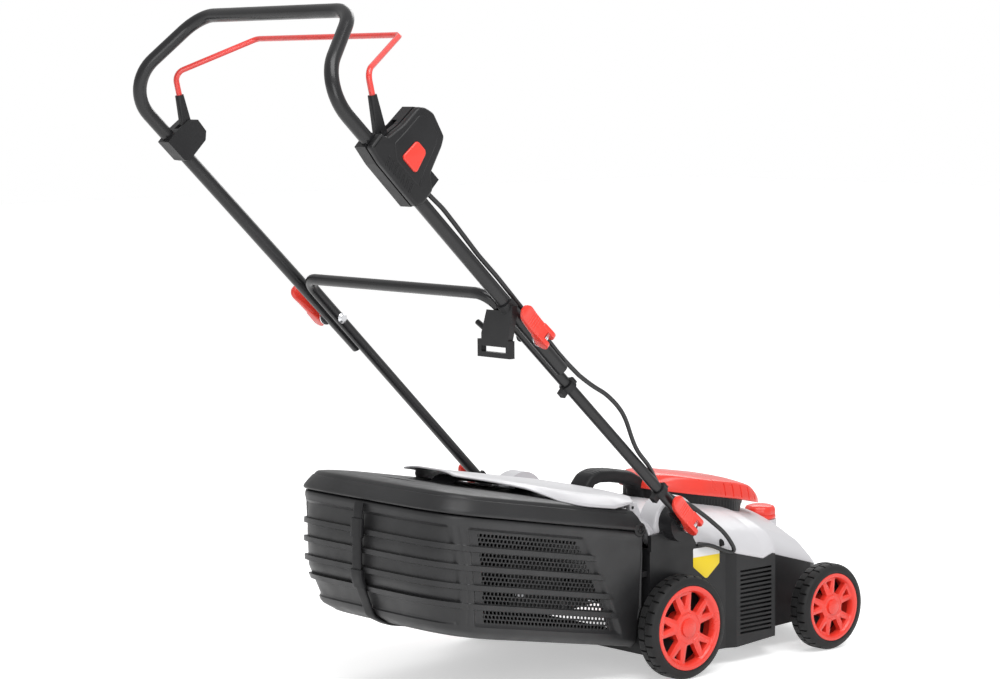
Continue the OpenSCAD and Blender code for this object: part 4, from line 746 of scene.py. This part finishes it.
# the plane of the cover's rim: it falls toward the nose, and a little more at the front
def coverPlane(y):
    return 233 - 0.17 * (y - 175) - coverShape["dip"] * ease(y, 230, 325)


# a squared oval of some half width and half length, its points at even steps
def coverOval(half, count):
    t = np.linspace(0, 2 * np.pi, 8001)[:-1]
    return evenPath(squareOval(t, *half, coverShape["power"]), count, 2, True)


# cover: a squared oval drawn in and lifted along a profile, on a plane that falls to the nose; it narrows
# toward the rear, its ends slant, and its sides have five fine grooves
def coverSurfaces():
    (wide, long), middle = coverShape["half"], coverShape["middle"]
    oval = coverOval(coverShape["half"], 1300) / coverShape["half"]
    profile = evenPath(coverShape["profile"], 44, 1)
    inset, h = profile[:, 0], profile[:, 1]
    x = oval[None, :, 0] * (wide - inset[:, None])
    pull = coverShape["slant"] * ease(inset, 0, 7)[:, None] * ease(np.abs(oval[:, 1]), 0.45, 1.0)[None]
    y = middle + oval[None, :, 1] * (long - inset[:, None] - pull)
    x = x * (1 - coverShape["taper"] * ease(middle - y, 30, long))
    h = h[:, None] + 0 * x
    groove = sum(np.clip(2.5 - np.abs(y - g) / 0.5, 0, 1) for g in coverShape["grooves"])
    groove = groove * (np.abs(x) > 56) * ease(h, 1.5, 3.5) * (1 - ease(h, 19, 21))
    x = x - np.sign(x) * groove * coverShape["grooveDepth"]
    share = np.linspace(0.12, 0.96, 12)[:, None]
    x = np.concatenate([x, x[-1:] * (1 - share)])
    y = np.concatenate([y, middle + (y[-1:] - middle) * (1 - share)])
    h = np.concatenate([h, h[-1:] + 0.8 * np.sin(share * np.pi / 2)])
    return [solidOf(np.stack([x, y, coverPlane(y) + h], -1))]


# band under the cover: a smaller oval, its front further back and narrower, with upright slats all round
def bandSurfaces():
    oval, middle = coverOval(coverShape["bandHalf"], 900), coverShape["bandMiddle"]
    slat = 0.5 * (np.arange(900) % 10 < 5)
    away = outwardOf(oval)
    h = np.array([-30, -6, -4.5, 1.0])[:, None]
    inset = np.array([1, 1, 0, 0])[:, None] * slat[None]
    x = oval[None, :, 0] - inset * away[None, :, 0]
    y = middle + oval[None, :, 1] - inset * away[None, :, 1]
    y = y - 12 * ease(y, 230, 294) * np.array([1, 0.3, 0.1, 0])[:, None]
    x = x * (1 - coverShape["taper"] * ease(middle - y, 20, coverShape["bandHalf"][1]))
    x = x * (1 - 0.12 * ease(y, 230, 294))
    return [solidOf(np.stack([x, y, coverPlane(y) + h + 0 * x], -1))]


makePiece("groovedCover", coverSurfaces(), "red_abs", "chassis", ["motor_cover"], sharp=30)
makePiece("slattedBand", bandSurfaces(), "soft_black", "chassis", ["cover_band"], sharp=30)

# carry handle
carryShape = {"half": 19, "thick": 10.0, "ribs": 4.2, "ribHeight": 0.035,
              "line": [[-17, 222], [-16, 236], [-8, 256], [2, 267.5], [18, 271.5], [44, 269.5], [78, 263.5],
                       [95, 256], [107, 244], [110, 224]]}
carryLine = evenPath(carryShape["line"], 150, 8)
gripZone = ease(carryLine[:, 0], 0, 10) * (1 - ease(carryLine[:, 0], 84, 92))
ribbing = 1 + carryShape["ribHeight"] * gripZone * np.sin(2 * np.pi * carryLine[:, 0] / carryShape["ribs"])
carryGrid = carried(onSide(carryLine[:, 0], carryLine[:, 1], 0 * carryLine[:, 0]),
                    squareRound(carryShape["half"], carryShape["thick"], 0.55, 36),
                    grow=np.stack([1 + 0 * ribbing, ribbing * (0.92 + 0.08 * gripZone)], -1))
makePiece("ribbedCarryHandle", [solidOf(carryGrid)], "soft_black", "chassis", ["carry_handle"])
print("hood, cover, knob and carry handle made")

# cam levers
leverShape = {"half": 11.5, "lobe": 10, "plates": ((4.6, 11.5), (-11.5, -4.6)), "ribs": 4.2,
              "arm": np.array([[9, -7.4, 9.2], [14, -6, 8.4], [22, -5, 8], [29, -4, 7.9], [40, -2.4, 8.2],
                               [51, 0.6, 9.6], [57, 2.6, 11], [61, 4.2, 10.8], [63.6, 6.2, 9.6]]),
              "cheek": [[9.6, 6], [8.8, 14], [8.2, 20], [-4.8, 20], [-6.4, 13], [-9.6, 4]]}


# lever: an arm whose thickness and place follow a table along it, with a few ribs and a round end, and two
# cam plates with a slot between them
def leverSurfaces(at, x, side):
    arm = leverShape["arm"]
    s = np.concatenate([np.linspace(9, 60, 64), np.linspace(60.6, 63.6, 9)])
    low, high = softTable(s, arm, 2), softTable(s, arm, 2, 2)
    high = high + 0.35 * ease(s, 26, 30) * (1 - ease(s, 44, 48)) * np.sin(2 * np.pi * s / leverShape["ribs"])
    width = leverShape["half"] * np.sqrt(np.clip(1 - ((s - 50) / 14.5) ** 2 * (s > 50), 0.05, 1))
    section = squareRound(1, 1, 0.45, 28)
    u = (low + high)[:, None] / 2 + (high - low)[:, None] / 2 * section[:, 0]
    place = onTube(at, x)
    grids = [place(u, width[:, None] * section[:, 1], s[:, None] + 0 * u)]
    t = np.linspace(-np.pi * 0.98, 0.02 * np.pi, 40)
    outline = np.concatenate([squareOval(t, leverShape["lobe"], leverShape["lobe"], 1), leverShape["cheek"]])
    outline = evenPath(outline, 96, 2, True)
    for low, high in leverShape["plates"]:
        grids.append(slab(outline, low, high, 1.4, lambda a, b, c: place(a, c, b)))
    return [solidOf(grid * [side, 1, 1]) for grid in grids]


leverAt = {"lower": (pivot, 228.5), "upper": (midBolt, upperHalf + 22.5)}
for level, (at, x) in leverAt.items():
    for side, hand in hands:
        which = level + "_" + hand
        makePiece("camLever_" + which, leverSurfaces(at, x, side), "red_abs", "clamp_" + which,
                  ["lever_" + which], sharp=36)
print("levers made")

# switch box
switchShape = {"shell": [[-13, 2], [-17, -26], [-18, -106], [-8, -112], [16, -112], [30, -94], [68, -84],
                         [80, -78], [90, -44], [86, -30], [78, -20], [44, -17], [14, -9], [12, 2]],
               "plateau": [[2, -92], [22, -84], [64, -74], [73, -68], [80, -44], [76, -33], [70, -27],
                           [40, -25], [16, -22], [2, -40]],
               "ribsAt": (-86, -34, 8.5),
               "button": [[10.5, -70.5], [13.5, -73.5], [39.5, -68.5], [43.5, -64.5], [43.5, -48.5],
                          [40.5, -45.5], [13.5, -42.5], [10.5, -45.5]]}
onSwitch = onTube(switchTop, upperHalf)


# the switch box's outlines are (off the tube, up the tube) and its heights run across the mower
def offSwitch(a, b, c):
    return onSwitch(c, a, b)


coverParts = [solidSlab(switchShape["shell"], 260, 6, 6.2, 19, 4.5, offSwitch, 6),
              solidSlab(switchShape["plateau"], 200, 6, 12, 20, 2.2, offSwitch, 5)]
for at in np.arange(*switchShape["ribsAt"]):
    rib = [[-14.5, at], [-14.5, at + 4], [0, at + 8.5], [0, at + 4.5]]
    coverParts.append(solidSlab(rib, 48, 3, 14, 19.9, 1.1, offSwitch))
makePiece("sculptedSwitchCover", coverParts, "black_abs", "upper_handle", ["switch_cover"], sharp=36)
makePiece("domedButton", [solidSlab(switchShape["button"], 96, 3, 14.5, 22.6, 2.0, offSwitch, 6)], "red_abs",
          "button", ["safety_button"])
print("switch box made")

# cable
cableShape = {
    "radius": 3.2, "sides": 12,
    "upper": [[230, -486, 718], [230, -478, 711], [231, -460, 696], [231, -438, 673], [231, -399, 631],
              [231, -368, 602], [229, -341, 576], [227, -318, 554], [226, -301, 537], [225, -287, 524]],
    "lower": [[225, -271, 509], [224, -253, 491], [223, -234, 474], [222, -213, 457], [222, -197, 446],
              [222, -182, 437], [222, -166, 429], [222, -155, 421], [222, -143, 411], [222, -131, 398],
              [222, -123, 384], [222, -117, 369], [222, -110, 353], [223, -102, 339], [222, -90, 328],
              [218, -78, 319], [211, -63, 305], [205, -48, 288], [202, -34, 276], [201, -18, 266]],
    "loop": [[200, 2, 257], [199, 21, 250], [199, 37, 240], [199, 57, 227], [199, 75, 214], [199, 90, 203],
             [199, 101, 192], [198, 111, 180], [197, 117, 173], [195, 120, 169], [193, 117, 166],
             [192, 106, 170], [191, 95, 174], [190, 82, 180], [190, 69, 184], [190, 60, 186],
             [187, 54, 186], [183.4, 54, 186]],
}


# cable: a circle carried along the smoothed route, built in place and fastened to no body
def cablePiece(name, route, standsFor, blend):
    path = evenPath(route, 120, 4)
    section = squareRound(cableShape["radius"], cableShape["radius"], 1.0, cableShape["sides"])
    start, end = (tuple(inMetres(p)) for p in blend[2:])
    piece = makePiece(name, [solidOf(carried(path, section, (1, 0.3, 0.3)))], "cable_pvc", None, standsFor,
                      blend=(*blend[:2], start, end))
    path = inMetres(path)


cablePiece("cableAlongUpperTube", cableShape["upper"] + cableShape["lower"][:4], ["cable_upper"],
           ("upper_handle", "lower_handle", (0, -330, 560), (0, -262, 498)))
cablePiece("cableLoopToDeck", cableShape["lower"][3:] + cableShape["loop"], ["cable_lower", "cable_deck"],
           ("lower_handle", "chassis", (0, -44, 290), (0, 50, 230)))
print("cable made")

# small trim
labelShape = {"shield": [[45, 180], [99, 180], [99, 153], [74, 134], [70, 134], [45, 153]],
              "sides": (182.9, 183.35), "split": (0.1665, 0.1675),
              "yellow": (0.9, 0.66, 0.004, 1), "white": (0.82, 0.82, 0.82, 1)}


# a white shield with a yellow foot; the two meet at a height
def labelFinish():
    finish, tree, shader, coords = newFinish("blank_label")
    height = nodeOf(tree, "SeparateXYZ", {"Vector": coords}).outputs["Z"]
    gloss = noiseAt(tree, coords, 60, 4)
    bump = nodeOf(tree, "Bump", {"Distance": 0.00003, "Height": gloss})
    tone = twoTone(tree, spread(tree, height, 0, 1, *labelShape["split"]), labelShape["yellow"],
                   labelShape["white"])
    fill(tree, shader, {"Base Color": tone, "Roughness": spread(tree, gloss, 0.3, 0.42),
                        "Normal": bump.outputs["Normal"]})
    return finish


label = solidSlab(labelShape["shield"], 90, 1, *labelShape["sides"], 0.1, onSide, 2)
makePiece("blankShieldLabel", [label], "grey_abs", "chassis", finish=labelFinish())

hookShape = {"line": [[99, 177], [100, 186], [102, 188.5], [107, 184], [108, 178]], "sides": (181, 185.6)}
hook = solidSlab(hookShape["line"], 60, 3, *hookShape["sides"], 1, onSide)
makePiece("cableHook", [hook], "soft_black", "chassis")
ventShape = {"line": [[130, 38], [208, 38], [208, 143], [130, 143]], "sides": (180, 181.4)}
baffles = []
for side in (1, -1):
    low, high = sorted(side * v for v in ventShape["sides"])
    baffles.append(solidSlab(ventShape["line"], 80, 1, low, high, 0.3, onSide, 2))
makePiece("ventBaffles", baffles, "soft_black", "chassis")
print("trim made")

# floor, lights and camera
stageShape = {"size": 14.0, "floorGlow": 0.46, "floorColour": 0.86, "world": 0.62,
              "key": 62.0, "fill": 26.0, "rim": 30.0}


# 1 where a ray is the camera's or of one more kind
def rayIs(tree, kind):
    rays = nodeOf(tree, "LightPath", {})
    seen = nodeOf(tree, "Math", {0: rays.outputs["Is Camera Ray"], 1: rays.outputs[kind]})
    seen.operation = "MAXIMUM"
    return seen.outputs[0]


# white for the camera and in reflections, plain diffuse for the light it sends back, so shadows stay
def glowFloor():
    finish, tree, shader, coords = newFinish("studio_floor")
    low, high = ((stageShape["floorColour"] * step,) * 3 + (1,) for step in (1, 1.02))
    tone = twoTone(tree, spread(tree, noiseAt(tree, coords, 3, 4), 0, 1), low, high)
    fill(tree, shader, {"Base Color": tone, "Roughness": 0.6, "Specular IOR Level": 0.1})
    strength = nodeOf(tree, "Math", {0: rayIs(tree, "Is Glossy Ray"), 1: stageShape["floorGlow"]})
    strength.operation = "MULTIPLY"
    glow = nodeOf(tree, "Emission", {"Color": (1, 1, 1, 1), "Strength": strength.outputs[0]})
    both = nodeOf(tree, "AddShader", {0: shader.outputs[0], 1: glow.outputs[0]})
    fill(tree, tree.nodes["Material Output"], {"Surface": both.outputs[0]})
    return finish


size = stageShape["size"]
floorMesh = bpy.data.meshes.new("floor")
corners = [(-size, -size, 0), (size, -size, 0), (size, size, 0), (-size, size, 0)]
floorMesh.from_pydata(corners, [], [(0, 1, 2, 3)])
floorMesh.materials.append(glowFloor())
addObject("floor", floorMesh)

world = bpy.data.worlds.new("studio")
bpy.context.scene.world = world
world.use_nodes = True
air = world.node_tree
bright = spread(air, rayIs(air, "Is Transmission Ray"), stageShape["world"], 1.0, 0.0, 1.0)
fill(air, air.nodes["Background"], {"Color": (1, 1, 1, 1), "Strength": bright})


# stands a thing at a place with its axes along right, up and back
def standAt(thing, right, up, back, at):
    rows = np.stack([right, up, back, at], -1).tolist()
    thing.matrix_world = Matrix([*rows, [0, 0, 0, 1]])


# a soft panel at a place, looking at a point
def softPanel(name, at, aim, width, height, power):
    lamp = bpy.data.lights.new(name, "AREA")
    lamp.shape = "RECTANGLE"
    lamp.size, lamp.size_y, lamp.energy = width, height, power
    back = unit(np.array(at, float) - np.array(aim, float))
    right = unit(np.cross([0.01, 0, 1.0], back))
    standAt(addObject(name, lamp), right, np.cross(back, right), back, at)


softPanel("keyPanel", (1.6, -0.6, 3.0), (0, 0, 0.3), 2.4, 1.8, stageShape["key"])
softPanel("fillPanel", (2.8, -2.2, 1.3), (0, 0, 0.3), 1.8, 1.4, stageShape["fill"])
softPanel("rimPanel", (-1.4, 2.2, 2.2), (0, 0, 0.4), 2.0, 1.4, stageShape["rim"])

# angles in degrees: yaw about the upright, then down, then roll about the line of sight
cameraShape = {"at": (2.988, -2.629262, 0.866), "yaw": 49.29, "down": 5.48, "roll": -0.50, "lens": 98.8}
yaw, down, roll = (math.radians(cameraShape[k]) for k in ("yaw", "down", "roll"))
look = np.array([-math.sin(yaw) * math.cos(down), math.cos(yaw) * math.cos(down), -math.sin(down)])
flatRight = np.array([math.cos(yaw), math.sin(yaw), 0])
flatUp = np.cross(flatRight, look)
right = flatRight * math.cos(roll) + flatUp * math.sin(roll)
up = -flatRight * math.sin(roll) + flatUp * math.cos(roll)
lens = bpy.data.cameras.new("studioCamera")
lens.lens, lens.sensor_width, lens.clip_end = cameraShape["lens"], 36, 60
camera = addObject("studioCamera", lens)
standAt(camera, right, up, -look, cameraShape["at"])
bpy.context.scene.camera = camera
bpy.context.scene.view_settings.view_transform = "Standard"
print("stage made")
